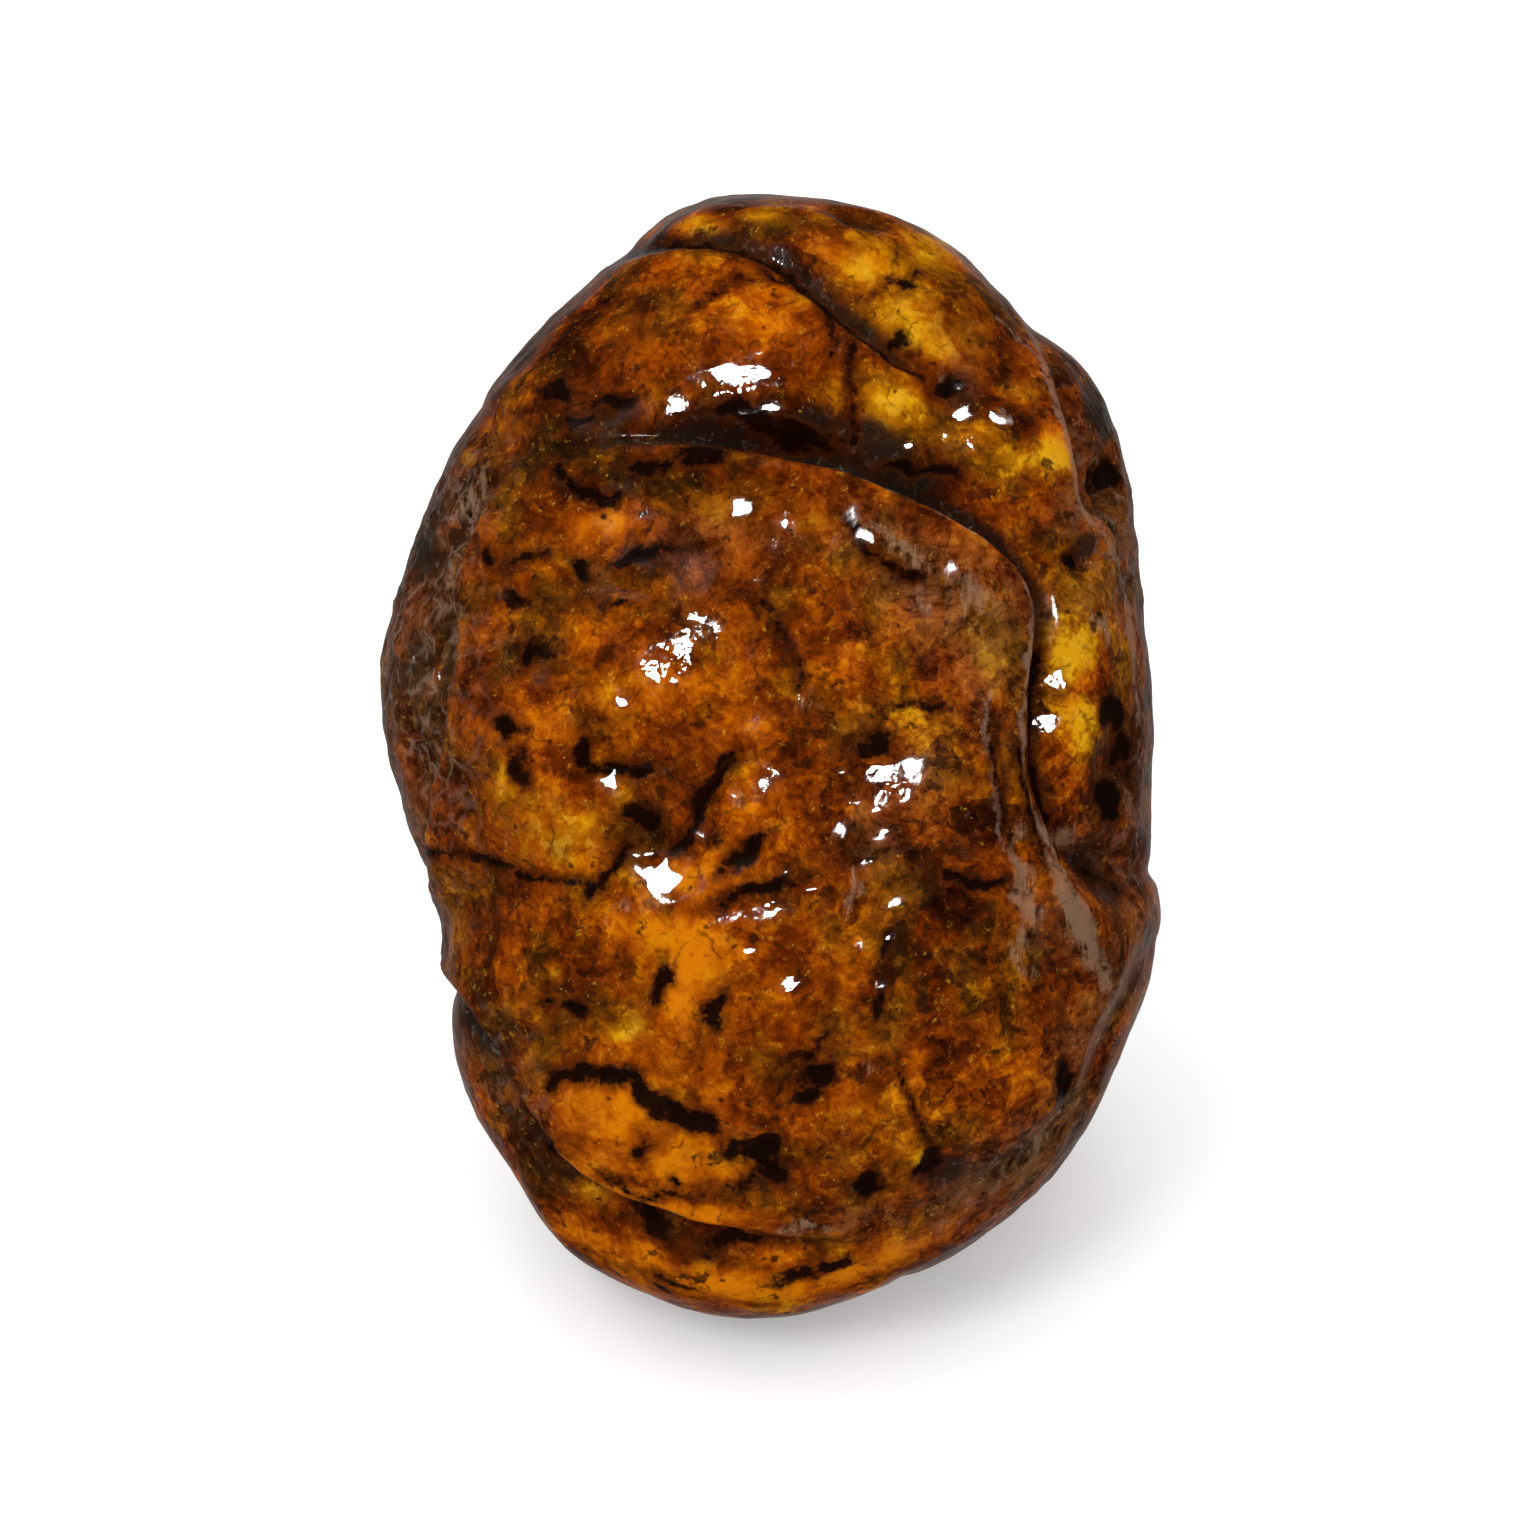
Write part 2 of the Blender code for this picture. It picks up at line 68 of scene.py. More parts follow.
# A fold parts two lobes. Its high side is on the left of its route; the low side starts "step" lower and
# rises again over "fall". A groove "groove" deep and "width" wide is cut between them and a lip stands on
# the high side. Each point of a route is (u, v, strength).
FACE_FOLDS = {
    "under the crown": dict(step=0.6, groove=0.5, width=1.2, fall=5.0, lip=0.15, route=[
        (11.0, 23.2, 0), (9.5, 24.0, 0.8), (7.9, 24.4, 1), (6.3, 25.8, 1), (4.8, 26.9, 1), (3.5, 28.0, 1),
        (2.2, 29.3, 1), (1.0, 30.3, 1), (-0.9, 31.2, 1), (-2.8, 31.9, 1), (-5.0, 32.1, 0.9),
        (-7.6, 32.1, 0.7), (-10.5, 31.7, 0.4)]),
    "round the bulge": dict(step=1.9, groove=0.6, width=1.2, fall=7.0, lip=0.2, route=[
        (26.0, -8.0, 0.2), (23.0, -7.6, 0.35), (20.6, -6.9, 0.5), (18.8, -5.7, 0.6), (17.4, -3.7, 0.65),
        (16.5, -1.2, 0.7), (16.3, 1.2, 0.7), (16.3, 4.0, 0.7), (16.7, 6.8, 0.75), (16.8, 9.6, 0.85),
        (15.9, 11.6, 0.95), (14.3, 13.2, 1), (12.1, 14.6, 1.05), (9.6, 15.9, 1.1), (6.8, 17.1, 1.1),
        (4.0, 18.1, 1), (1.2, 18.7, 1), (-1.5, 19.3, 0.9), (-4.3, 19.7, 0.7), (-7.1, 19.7, 0.55),
        (-10.3, 19.4, 0.4), (-13.1, 19.0, 0.35), (-15.7, 18.8, 0.3), (-18.3, 19.3, 0.2),
        (-20.3, 20.3, 0)]),
    "over the foot": dict(step=2.6, groove=0.5, width=1.5, fall=7.0, lip=0.2, route=[
        (-21.8, -13.2, 0.25), (-19.8, -15.2, 0.6), (-18.1, -17.6, 0.9), (-16.7, -20.4, 1.1),
        (-14.9, -23.0, 1.15), (-13.1, -25.3, 1.1), (-10.7, -27.3, 1), (-7.5, -28.7, 0.85),
        (-4.1, -29.7, 0.65), (-0.6, -30.2, 0.45), (2.5, -30.6, 0.3), (5.7, -30.7, 0.15),
        (8.5, -30.5, 0)]),
    "left shoulder": dict(step=1.5, groove=0.1, width=1.3, fall=6.0, lip=0.2, route=[
        (-15.3, 19.1, 0.2), (-17.1, 17.2, 0.8), (-18.8, 14.4, 1), (-19.9, 11.9, 1), (-20.2, 9.7, 1),
        (-20.0, 7.2, 0.9), (-20.4, 3.8, 0.9), (-20.7, 0.6, 1), (-21.6, -2.8, 1), (-22.0, -6.0, 1),
        (-21.9, -8.7, 0.9), (-21.3, -11.0, 0.6)]),
    "right shoulder": dict(step=1.1, groove=0.2, width=1.0, fall=3.5, lip=0.15, route=[
        (23.9, 11.6, 0.2), (22.0, 14.9, 0.7), (20.5, 15.9, 1), (19.7, 18.5, 1), (18.9, 21.4, 0.8),
        (17.9, 24.6, 0.5), (16.6, 27.4, 0.25), (14.6, 30.0, 0.1), (12.2, 32.2, 0)]),
    "lower right shoulder": dict(step=0.9, groove=0.1, width=2.6, fall=5.0, lip=0.1, route=[
        (5.7, -30.4, 0), (8.5, -28.4, 0.7), (11.9, -27.1, 1), (15.1, -24.9, 1), (17.6, -22.9, 1),
        (19.5, -20.5, 1), (21.1, -17.3, 1), (22.8, -13.9, 0.8), (24.1, -11.2, 0.3)]),
    "inner split": dict(step=0.15, groove=0.4, width=0.5, fall=2.0, lip=0.1, route=[
        (15.5, -7.8, 0.3), (14.7, -5.3, 1), (14.4, -2.8, 1), (14.2, -0.3, 0.8), (14.2, 1.5, 0)]),
    "left crack": dict(step=0.2, groove=0.2, width=0.6, fall=3.0, lip=0.0, route=[
        (-10.5, -8.3, 0.3), (-12.1, -7.7, 1), (-14.3, -7.5, 1), (-16.8, -6.7, 0.9), (-19.1, -6.1, 0.8),
        (-21.8, -5.8, 0.5)]),
    "brow crack": dict(step=0.3, groove=0.2, width=0.7, fall=3.0, lip=0.05, route=[
        (-7.1, -0.8, 0.8), (-9.3, -1.2, 1), (-11.0, -0.8, 1), (-11.7, 0.6, 0.8), (-11.9, 3.4, 0.4)]),
    "wedge crack": dict(step=0.45, groove=0.35, width=0.8, fall=3.0, lip=0.1, route=[
        (-6.3, -6.5, 0.8), (-4.9, -3.7, 1), (-3.6, -1.5, 1), (-2.2, -0.1, 1), (-0.3, 0.0, 0.7),
        (1.8, -1.2, 0.2)]),
    "lower right crack": dict(step=0.15, groove=0.2, width=0.5, fall=3.0, lip=0.05, route=[
        (10.0, -25.6, 0.6), (8.4, -21.4, 1), (7.1, -17.0, 1), (6.9, -13.9, 0.8), (8.0, -8.9, 0.3)]),
    "chin seam": dict(step=-0.25, groove=0.15, width=1.0, fall=3.0, lip=0.0, route=[
        (-13.4, -19.8, 0.8), (-10.6, -19.4, 1), (-7.7, -19.6, 1), (-5.6, -21.4, 1), (-4.2, -22.8, 0.5)]),
}

# Lumps and hollows of the face: (u, v, half width, half height, tilt, height). A hollow's height is
# below zero.
FACE_LUMPS = [
    (-0.3, 26.1, 5.9, 4.3, -8, 0.35), (7.6, 22.2, 3.1, 2.2, -35, 0.8), (4.2, 22.5, 1.2, 3.0, 10, 0.6),
    (2.8, 33.3, 7.1, 2.2, -5, 1.1), (11.0, 27.6, 4.8, 3.9, -35, 0.9), (-10.0, 26.7, 3.9, 3.2, 30, 0.6),
    (-13.2, 22.6, 2.9, 2.1, 20, 0.5), (19.9, 8.1, 2.4, 3.8, 0, 1.5), (19.4, 1.2, 2.2, 3.4, 0, 1.3),
    (16.9, 17.8, 1.5, 2.3, 0, 0.6), (-7.1, 4.6, 4.0, 3.7, 0, 1.1), (-14.3, -4.7, 4.8, 3.5, 0, 0.6),
    (-0.3, -2.8, 2.7, 3.4, -20, 0.8), (-8.0, -12.7, 4.5, 3.4, 10, 0.6),
    (-10.0, -23.2, 3.6, 3.0, -10, 0.9), (-4.4, -26.2, 3.9, 2.6, -20, 0.5),
    (8.3, 12.0, 5.5, 3.0, -30, 0.7), (9.9, -4.0, 4.0, 4.0, 0, 0.5), (5.6, -12.6, 4.0, 4.9, 0, 0.5),
    (14.3, -18.4, 4.6, 4.6, 0, 0.6), (-16.8, 3.4, 3.0, 5.8, 0, 0.5), (-1.8, 12.0, 4.5, 3.2, 0, 0.5),
    (4.0, -22.0, 3.9, 3.2, 0, 0.4), (-4.9, -15.8, 2.6, 5.2, -15, 0.5), (19.7, -11.3, 2.2, 3.9, 20, 0.8),
    (-13.5, -32.7, 3.9, 1.7, -42, 0.8), (-4.4, -33.5, 5.2, 1.4, -8, 0.6),
    (-7.1, -5.7, 1.9, 1.4, 10, -1.1), (-11.0, -8.5, 2.8, 1.4, 35, -0.7), (-4.3, -2.8, 1.7, 1.2, 50, -0.5),
    (21.5, -7.1, 3.0, 1.8, -25, -2.0), (6.7, -1.0, 2.3, 1.0, 25, -0.8), (-4.3, 20.3, 3.0, 0.9, -5, -0.9),
    (0.0, 19.7, 3.9, 1.0, -8, -1.0), (-6.8, -14.2, 0.9, 2.6, -12, -0.5),
    (-12.1, -15.8, 2.2, 0.9, -20, -0.4), (-8.0, 9.6, 3.0, 1.3, -15, -0.5),
    (-4.9, 14.5, 2.6, 1.3, 0, -0.4), (21.6, -1.0, 1.5, 2.6, 0, -0.7),
]

# Blisters and pits: the same six numbers, with a steeper rim.
FACE_PITS = [
    (13.4, 19.6, 1.9, 2.2, 0, 1.1), (22.2, 17.6, 0.8, 1.8, 8, -1.5), (20.0, 12.2, 1.0, 1.1, 0, -1.2),
    (-1.4, -5.9, 2.5, 0.8, 38, -0.35), (-0.7, -8.9, 3.1, 1.0, 12, -0.4), (3.0, -19.4, 2.6, 1.7, 25, -0.4),
    (-0.8, -25.0, 2.3, 1.5, -30, -0.4), (5.7, 33.5, 1.9, 0.6, -15, -0.6), (10.9, 22.9, 1.4, 1.1, 0, -0.5),
    (-16.0, 9.8, 0.9, 0.8, 0, -0.3), (-16.0, 1.6, 0.7, 1.0, 0, -0.3), (18.5, -20.1, 0.9, 1.3, 0, -0.4),
    (10.6, -26.1, 1.7, 0.9, 25, -0.5), (-14.8, -25.2, 1.7, 1.0, -30, -0.9),
    (-22.4, 12.0, 0.8, 1.6, -12, -0.8), (-22.8, 6.2, 0.8, 1.4, 0, -0.7), (-23.0, -0.4, 0.8, 1.8, 8, -0.8),
]

# The back has folds, lumps and pits of its own, placed by the same u and v as they lie behind the face.
BACK_FOLDS = {
    "across the back": dict(step=1.5, groove=0.8, width=2.0, fall=6.0, lip=0.4, route=[
        (21.0, 10.0, 0), (16.5, 6.0, 0.6), (12.0, 6.5, 1), (6.5, 9.5, 1), (1.5, 11.0, 0.7),
        (-4.0, 9.5, 0.8), (-8.0, 11.5, 1), (-13.0, 17.0, 0.8), (-16.0, 22.0, 0.2)]),
    "heel fold": dict(step=1.7, groove=0.6, width=2.2, fall=6.5, lip=0.45, route=[
        (-20.0, -4.0, 0), (-16.0, -9.5, 0.6), (-11.0, -11.0, 1), (-5.5, -8.5, 0.9), (0.5, -9.5, 0.6),
        (5.0, -13.5, 1), (9.0, -19.0, 1), (11.0, -25.0, 0.4)]),
    "crown seam": dict(step=0.7, groove=0.9, width=0.9, fall=4.0, lip=0.2, route=[
        (9.0, 33.0, 0.5), (8.0, 27.0, 0.9), (9.5, 21.5, 1), (7.0, 16.0, 0.8), (7.5, 12.0, 0.3)]),
    "heel seam": dict(step=0.4, groove=0.7, width=0.8, fall=3.5, lip=0.15, route=[
        (-6.0, -30.0, 0.3), (-7.5, -24.0, 1), (-4.5, -19.0, 1), (-5.5, -13.0, 0.8), (-4.5, -9.0, 0.2)]),
}
BACK_LUMPS = [
    (-9.0, 22.0, 6.0, 5.0, 20, 1.3), (14.0, 20.0, 4.5, 5.5, 0, 1.2), (2.0, 2.0, 7.0, 5.0, -10, 1.3),
    (-14.0, 1.0, 5.0, 6.0, 0, 1.1), (15.0, -3.0, 5.0, 4.5, 0, 1.0), (8.0, -22.0, 6.0, 5.0, 15, 1.2),
    (-13.0, -22.0, 5.0, 4.5, 0, 1.0), (2.0, 26.0, 4.0, 4.0, 0, 0.6), (-3.0, 16.0, 5.0, 2.5, 10, -1.1),
    (16.0, 10.0, 3.0, 3.5, 0, -1.2), (-17.0, 8.0, 2.5, 3.5, 0, -1.0), (5.0, -3.5, 4.0, 2.0, 20, -0.8),
    (-9.0, -3.5, 2.8, 2.2, 0, -0.8), (1.0, -15.5, 3.0, 2.2, -20, -0.9), (16.0, -18.0, 2.5, 3.0, 0, -0.9),
]
BACK_PITS = [
    (-12.0, 25.0, 1.3, 1.0, 0, -0.9), (-5.0, 4.0, 1.6, 0.9, 30, -0.9), (9.0, 0.5, 1.0, 1.5, 0, -0.8),
    (18.0, 15.0, 0.9, 1.7, 10, -0.9), (4.0, 21.0, 1.5, 0.8, -25, -0.8), (-18.0, -3.5, 1.0, 1.8, 0, -0.9),
    (10.0, -17.0, 1.7, 0.9, 35, -0.9), (-12.5, -16.5, 1.2, 1.2, 0, -0.8), (3.5, 31.0, 1.8, 0.9, 0, -0.9),
    (-1.0, -24.0, 1.1, 1.4, 0, -0.8),
]
PIT_RIM = 1.6             # power of the fall-off at a pit's rim, where a lump has 1
FOLD_REACH = 20.0         # a fold is not felt further away than this
STRENGTH_BLEND = 0.5      # closer to a fold than this, its strength is only its own
SWELLS = [(17.0, 0.5, 1.8), (8.0, 0.22, 0.8), (4.5, 0.08, 0.3)]  # wavelength, height on face, on back


# ---- Curves --------------------------------------------------------------------------------------
def smooth(low, high, value):
    """0 below low, 1 above high and a soft step between them."""
    t = np.clip((value - low) / (high - low), 0.0, 1.0)
    return t * t * (3.0 - 2.0 * t)


def cubic(before, start, end, after, t):
    """A Catmull-Rom curve from start to end."""
    bend = 2.0 * before - 5.0 * start + 4.0 * end - after
    twist = 3.0 * (start - end) + after - before
    return 0.5 * (2.0 * start + (end - before) * t + bend * t**2 + twist * t**3)


def outline_radius(angle):
    """The outline's radius at each angle, in radians."""
    turns, radii = np.array(OUTLINE).T
    count = len(turns)
    degrees = np.degrees(angle) % 360.0
    start = np.searchsorted(turns, degrees, side="right") - 1
    end = (start + 1) % count
    t = (degrees - turns[start]) / ((turns[end] - turns[start]) % 360.0)
    return cubic(radii[start - 1], radii[start], radii[end], radii[(start + 2) % count], t)


def fine_route(route, pieces=5):
    """The route with its corners rounded: points (u, v, strength)."""
    points = np.array(route, dtype=float)
    first = 2.0 * points[0] - points[1]
    last = 2.0 * points[-1] - points[-2]
    points = np.vstack([first, points, last])
    fine = [
        cubic(*points[i - 1 : i + 3], k / pieces)
        for i in range(1, len(points) - 2)
        for k in range(pieces)
    ]
    fine.append(points[-2])
    return fine


# ---- Relief --------------------------------------------------------------------------------------
def beside_route(route, u, v):
    """For each place: its distance from the route, above zero on the left, and the strength there.

    The strength is a mean of the whole route's, in which near pieces count for most. It dies away past an
    end.
    """
    nearest = np.full(u.shape, np.inf)
    side = np.ones(u.shape)
    past_end = np.zeros(u.shape)
    weights = np.zeros(u.shape)
    strengths = np.zeros(u.shape)
    points = fine_route(route)
    for i, ((u0, v0, from_strength), (u1, v1, to_strength)) in enumerate(zip(points, points[1:])):
        du, dv = u1 - u0, v1 - v0
        length = math.hypot(du, dv)
        along = ((u - u0) * du + (v - v0) * dv) / length**2
        t = np.clip(along, 0.0, 1.0)
        off_u, off_v = u - u0 - t * du, v - v0 - t * dv
        distance = np.hypot(off_u, off_v)
        closer = distance < nearest
        nearest = np.where(closer, distance, nearest)
        side = np.where(closer, np.where(du * off_v - dv * off_u >= 0.0, 1.0, -1.0), side)
        first, last = i == 0, i == len(points) - 2
        past = np.maximum(-along * first, (along - 1.0) * last) * length
        past_end = np.where(closer, past, past_end)
        weight = length / (distance + STRENGTH_BLEND) ** 4
        weights += weight
        strengths += weight * (from_strength + t * (to_strength - from_strength))
    return nearest * side, np.clip(strengths / weights * np.exp(-past_end), 0.0, None)


def fold_height(u, v, step, groove, width, fall, lip, route):
    """The rise and fall of the surface across one fold."""
    height = np.zeros(u.shape)
    points = np.array(route)
    near = (u > points[:, 0].min() - FOLD_REACH) & (u < points[:, 0].max() + FOLD_REACH)
    near &= (v > points[:, 1].min() - FOLD_REACH) & (v < points[:, 1].max() + FOLD_REACH)
    distance, strength = beside_route(route, u[near], v[near])
    raised = smooth(-0.5 * width, 0.5 * width, distance)
    low_side = -step * (1.0 - raised) * np.exp(-np.maximum(-distance - 0.5 * width, 0.0) / fall)
    cut = -groove * np.exp(-(((distance + 0.45 * width) / (0.55 * width)) ** 2))
    rim = lip * np.exp(-(((distance - 1.5 * width) / (1.1 * width)) ** 2))
    height[near] = strength * (low_side + cut + rim)
    return height


def lump_height(u, v, lump, power):
    """One lump or hollow: a tilted oval that fades out at its rim."""
    middle_u, middle_v, half_width, half_height, tilt, height = lump
    turn = math.radians(tilt)
    du, dv = u - middle_u, v - middle_v
    across = (du * math.cos(turn) + dv * math.sin(turn)) / half_width
    along = (dv * math.cos(turn) - du * math.sin(turn)) / half_height
    return height * np.exp(-0.9 * (across**2 + along**2) ** power)


def relief(u, v, folds, lumps, pits):
    """The height of all the folds, lumps and pits of one side."""
    height = np.zeros(u.shape)
    for fold in folds.values():
        height += fold_height(u, v, **fold)
    for lump in lumps:
        height += lump_height(u, v, lump, 1.0)
    for pit in pits:
        height += lump_height(u, v, pit, PIT_RIM)
    return height


def swell_height(points, face_share):
    """Gentle waves all over, stronger on the back."""
    height = np.zeros(len(points))
    for order, (wavelength, on_face, on_back) in enumerate(SWELLS):
        places = points / wavelength + 17.0 * order
        waves = np.array([noise.noise(Vector(place)) for place in places])
        height += waves * (on_back + (on_face - on_back) * face_share)
    return height


# ---- The lump ------------------------------------------------------------------------------------
def plain_form(directions):
    """The lump before its relief: the outline, domed in front and behind. Gives points (u, v, w)."""
    right, up, out = directions.T
    exponent = 2.0 / SQUARENESS
    angle = np.arctan2(up, right)
    reach = outline_radius(angle) * np.hypot(right, up) ** exponent
    u, v = reach * np.cos(angle), reach * np.sin(angle)
    back_depth = CROWN_DEPTH + (HEEL_DEPTH - CROWN_DEPTH) * smooth(18.0, -22.0, v)
    depth = np.where(out > 0.0, FRONT_DEPTH, back_depth)
    return np.stack([u, v, depth * np.sign(out) * np.abs(out) ** exponent], axis=1)


def relieved_form(directions, normals_of):
    """The plain form pushed in and out along its normals."""
    points = plain_form(directions)
    u, v = points[:, 0], points[:, 1]
    face_share = smooth(-0.35, 0.05, directions[:, 2])
    height = face_share * relief(u, v, FACE_FOLDS, FACE_LUMPS, FACE_PITS)
    height += (1.0 - face_share) * relief(u, v, BACK_FOLDS, BACK_LUMPS, BACK_PITS)
    height += swell_height(points, face_share)
    return points + normals_of(points) * height[:, None]


def stood_up(points):
    """Leans the face back, presses the foot flat on z = 0 and centres the lump over the origin."""
    lean = math.radians(LEAN)
    u, v, w = points.T
    x = u
    y = v * math.sin(lean) - w * math.cos(lean)
    z = v * math.cos(lean) + w * math.sin(lean) + FLOOR_DROP
    rounded = (z + FOOT_ROUNDING) ** 2 / (4.0 * FOOT_ROUNDING)
    z = np.where(z > FOOT_ROUNDING, z, np.where(z < -FOOT_ROUNDING, 0.0, rounded))
    standing = np.stack([x, y, z], axis=1)
    middle = 0.5 * (standing.min(axis=0) + standing.max(axis=0))
    return standing - [middle[0], middle[1], 0.0]


# ---- Fine relief ------------------------------------------------------------------------------------------------
GRID_ACROSS = 148    # quads along the face and the back of the shaping box, each way
GRID_DEPTH = 90      # quads from its face to its back
SKIN = [(3.4, 0.10, 0.26), (1.9, 0.07, 0.16), (1.1, 0.045, 0.08)]  # wavelength, height on the face, on the rind
RIND_PATCHES = [     # places on the face with a wrinkled bark: (u, v, half width, half height, tilt, share)
    (-23.0, 6.0, 4.2, 13.0, 4, 1.0), (-21.5, 15.0, 3.0, 6.0, -25, 0.9), (-22.0, -8.0, 2.5, 8.0, 8, 0.7),
    (22.5, 16.0, 2.5, 8.0, 12, 0.8), (23.5, -4.0, 2.0, 8.0, 0, 0.5), (-17.5, -20.0, 3.0, 5.0, 30, 0.6),
    (15.0, -27.5, 6.0, 3.0, 35, 0.5),
]
THIN_CRACKS = [      # hairline splits of the face: (u, v, strength), about half a millimetre wide
    [(3.8, 27.4, 0.5), (4.0, 26.1, 1), (3.8, 24.8, 0.6)],
    [(4.9, 26.0, 0.5), (5.1, 23.3, 1), (5.1, 21.7, 1), (5.3, 19.8, 0.6)],
    [(-5.4, 27.4, 0.4), (-4.1, 28.6, 1), (-2.2, 29.7, 1), (-0.3, 30.1, 1), (1.6, 29.7, 0.4)],
    [(-0.5, 9.5, 0.4), (0.3, 8.3, 1), (1.2, 6.8, 1), (1.7, 5.4, 1), (1.8, 4.0, 0.5)],
    [(-8.8, -5.6, 0.6), (-9.8, -7.0, 1), (-11.4, -8.5, 0.5)],
    [(5.4, 13.0, 0.5), (6.7, 11.9, 1), (8.0, 11.2, 1), (9.4, 10.7, 0.5)],
    [(-13.1, 17.7, 0.3), (-12.1, 16.6, 1), (-10.7, 15.8, 1), (-9.4, 16.2, 0.4)],
    [(7.3, -10.8, 0.4), (6.9, -13.0, 1), (6.7, -15.1, 1), (6.7, -16.7, 0.6)],
    [(16.9, -5.9, 0.3), (16.4, -3.7, 1), (15.8, -1.2, 1), (15.3, 0.9, 0.3)],
]
THIN_CRACK = dict(step=0.0, groove=0.3, width=0.6, fall=2.0, lip=0.05)


FACETS = [           # smooth places that mirror the lamp: (u, v, half width, half height, tilt)
    (-6.9, -7.5, 1.9, 1.1, -12), (-5.2, -6.2, 0.8, 0.7, 0), (-2.0, 23.5, 2.0, 0.7, 8),
    (-4.6, 22.8, 0.9, 0.9, 20), (-5.8, 21.6, 1.3, 0.7, 40), (-1.8, 21.3, 0.8, 0.7, 8),
    (0.2, 21.6, 0.8, 0.7, 0),
    (4.3, -1.2, 0.8, 0.7, 0), (6.4, -0.9, 1.0, 0.7, 15), (8.5, -0.6, 0.8, 0.7, 0),
    (8.3, -2.5, 0.8, 0.7, 30), (6.8, -3.1, 0.7, 0.8, 0), (6.9, -5.0, 0.7, 0.8, 0),
    (5.8, -6.7, 0.7, 0.8, 0), (7.7, -9.0, 0.7, 0.8, 0), (7.4, -11.2, 0.8, 0.7, 0),
    (5.6, -11.6, 0.8, 0.7, 0), (6.8, -14.2, 0.7, 0.8, 0), (4.2, -4.6, 0.7, 0.8, 10),
    (0.0, -9.6, 1.5, 0.8, 35), (2.6, -8.2, 1.2, 0.7, 15), (-1.3, -11.9, 0.9, 0.8, 20),
    (1.3, -13.9, 1.1, 0.8, 20), (1.0, -7.2, 0.8, 0.8, -10), (-2.0, -2.6, 0.8, 0.7, 0),
    (-4.3, -4.9, 0.8, 0.7, 0), (-5.1, 6.8, 0.9, 0.8, -20), (-7.2, 5.2, 1.6, 0.8, 40),
    (-9.0, 3.4, 1.0, 0.7, 50), (-9.9, -1.6, 0.7, 0.7, 20),
    (12.3, 21.4, 1.3, 0.8, 15), (14.3, 21.2, 1.2, 0.8, -25), (17.9, 4.6, 0.8, 0.8, 0),
    (17.2, 2.0, 0.8, 0.7, 0), (8.4, 19.2, 0.7, 0.6, 0), (5.6, 13.4, 0.7, 0.6, 0),
    (-1.9, 15.2, 0.7, 0.6, 0), (0.9, 14.2, 0.6, 0.6, 0), (4.9, 14.9, 0.6, 0.6, 0),
    (-0.7, 10.9, 0.7, 0.7, 0), (11.1, 11.6, 0.7, 0.7, 0), (2.4, 10.2, 0.7, 0.7, 0),
]
FACET_RISE = (0.041, -0.231)  # how w changes along u and along v on a facet in the face's middle
FACET_TURN = 0.0023  # how much more per millimetre from there, as the lamp is near
FACET_EDGE = 2.0     # power of the fall-off at a facet's edge, where a lump has 1
FACET_MIDDLE = 2.2   # raises that fall-off, which stays flat where it would pass 1


def patch_share(u, v, patches):
    """How far each place lies inside the nearest soft-edged oval: 0 outside, up to its share in the middle."""
    share = np.zeros(u.shape)
    for patch in patches:
        share = np.maximum(share, lump_height(u, v, patch, 1.0))
    return share


def skin_height(points, rind):
    """Fine waves, rougher on the rind."""
    height = np.zeros(len(points))
    for order, (wavelength, on_face, on_rind) in enumerate(SKIN):
        places = points / wavelength + 29.0 * (order + 1)
        waves = np.array([noise.noise(Vector(place)) for place in places])
        creased = 1.0 - 2.0 * np.abs(waves)
        height += on_face * waves * (1.0 - rind) + on_rind * (creased - 0.5) * rind
    return height


def facet_share(u, v, facet):
    """How much of a facet's own slope each place takes: all of it over the middle, less towards its edge."""
    return np.minimum(1.0, FACET_MIDDLE * lump_height(u, v, (*facet, 1.0), FACET_EDGE))


def with_facets(points, front):
    """Planes the skin down, or fills it up, to the level of each facet."""
    u, v, w = points.T
    ragged_u, ragged_v = shaken(points, 1.4, 0.45)
    for facet in FACETS:
        share = facet_share(ragged_u, ragged_v, facet) * front
        rise_u, rise_v = FACET_RISE[0] + FACET_TURN * facet[0], FACET_RISE[1] + FACET_TURN * facet[1]
        across = rise_u * (u - facet[0]) + rise_v * (v - facet[1])
        level = ((w - across) * share).sum() / share.sum()
        w = w + 0.95 * share * (level + across - w)
    return np.stack([u, v, w], axis=1)


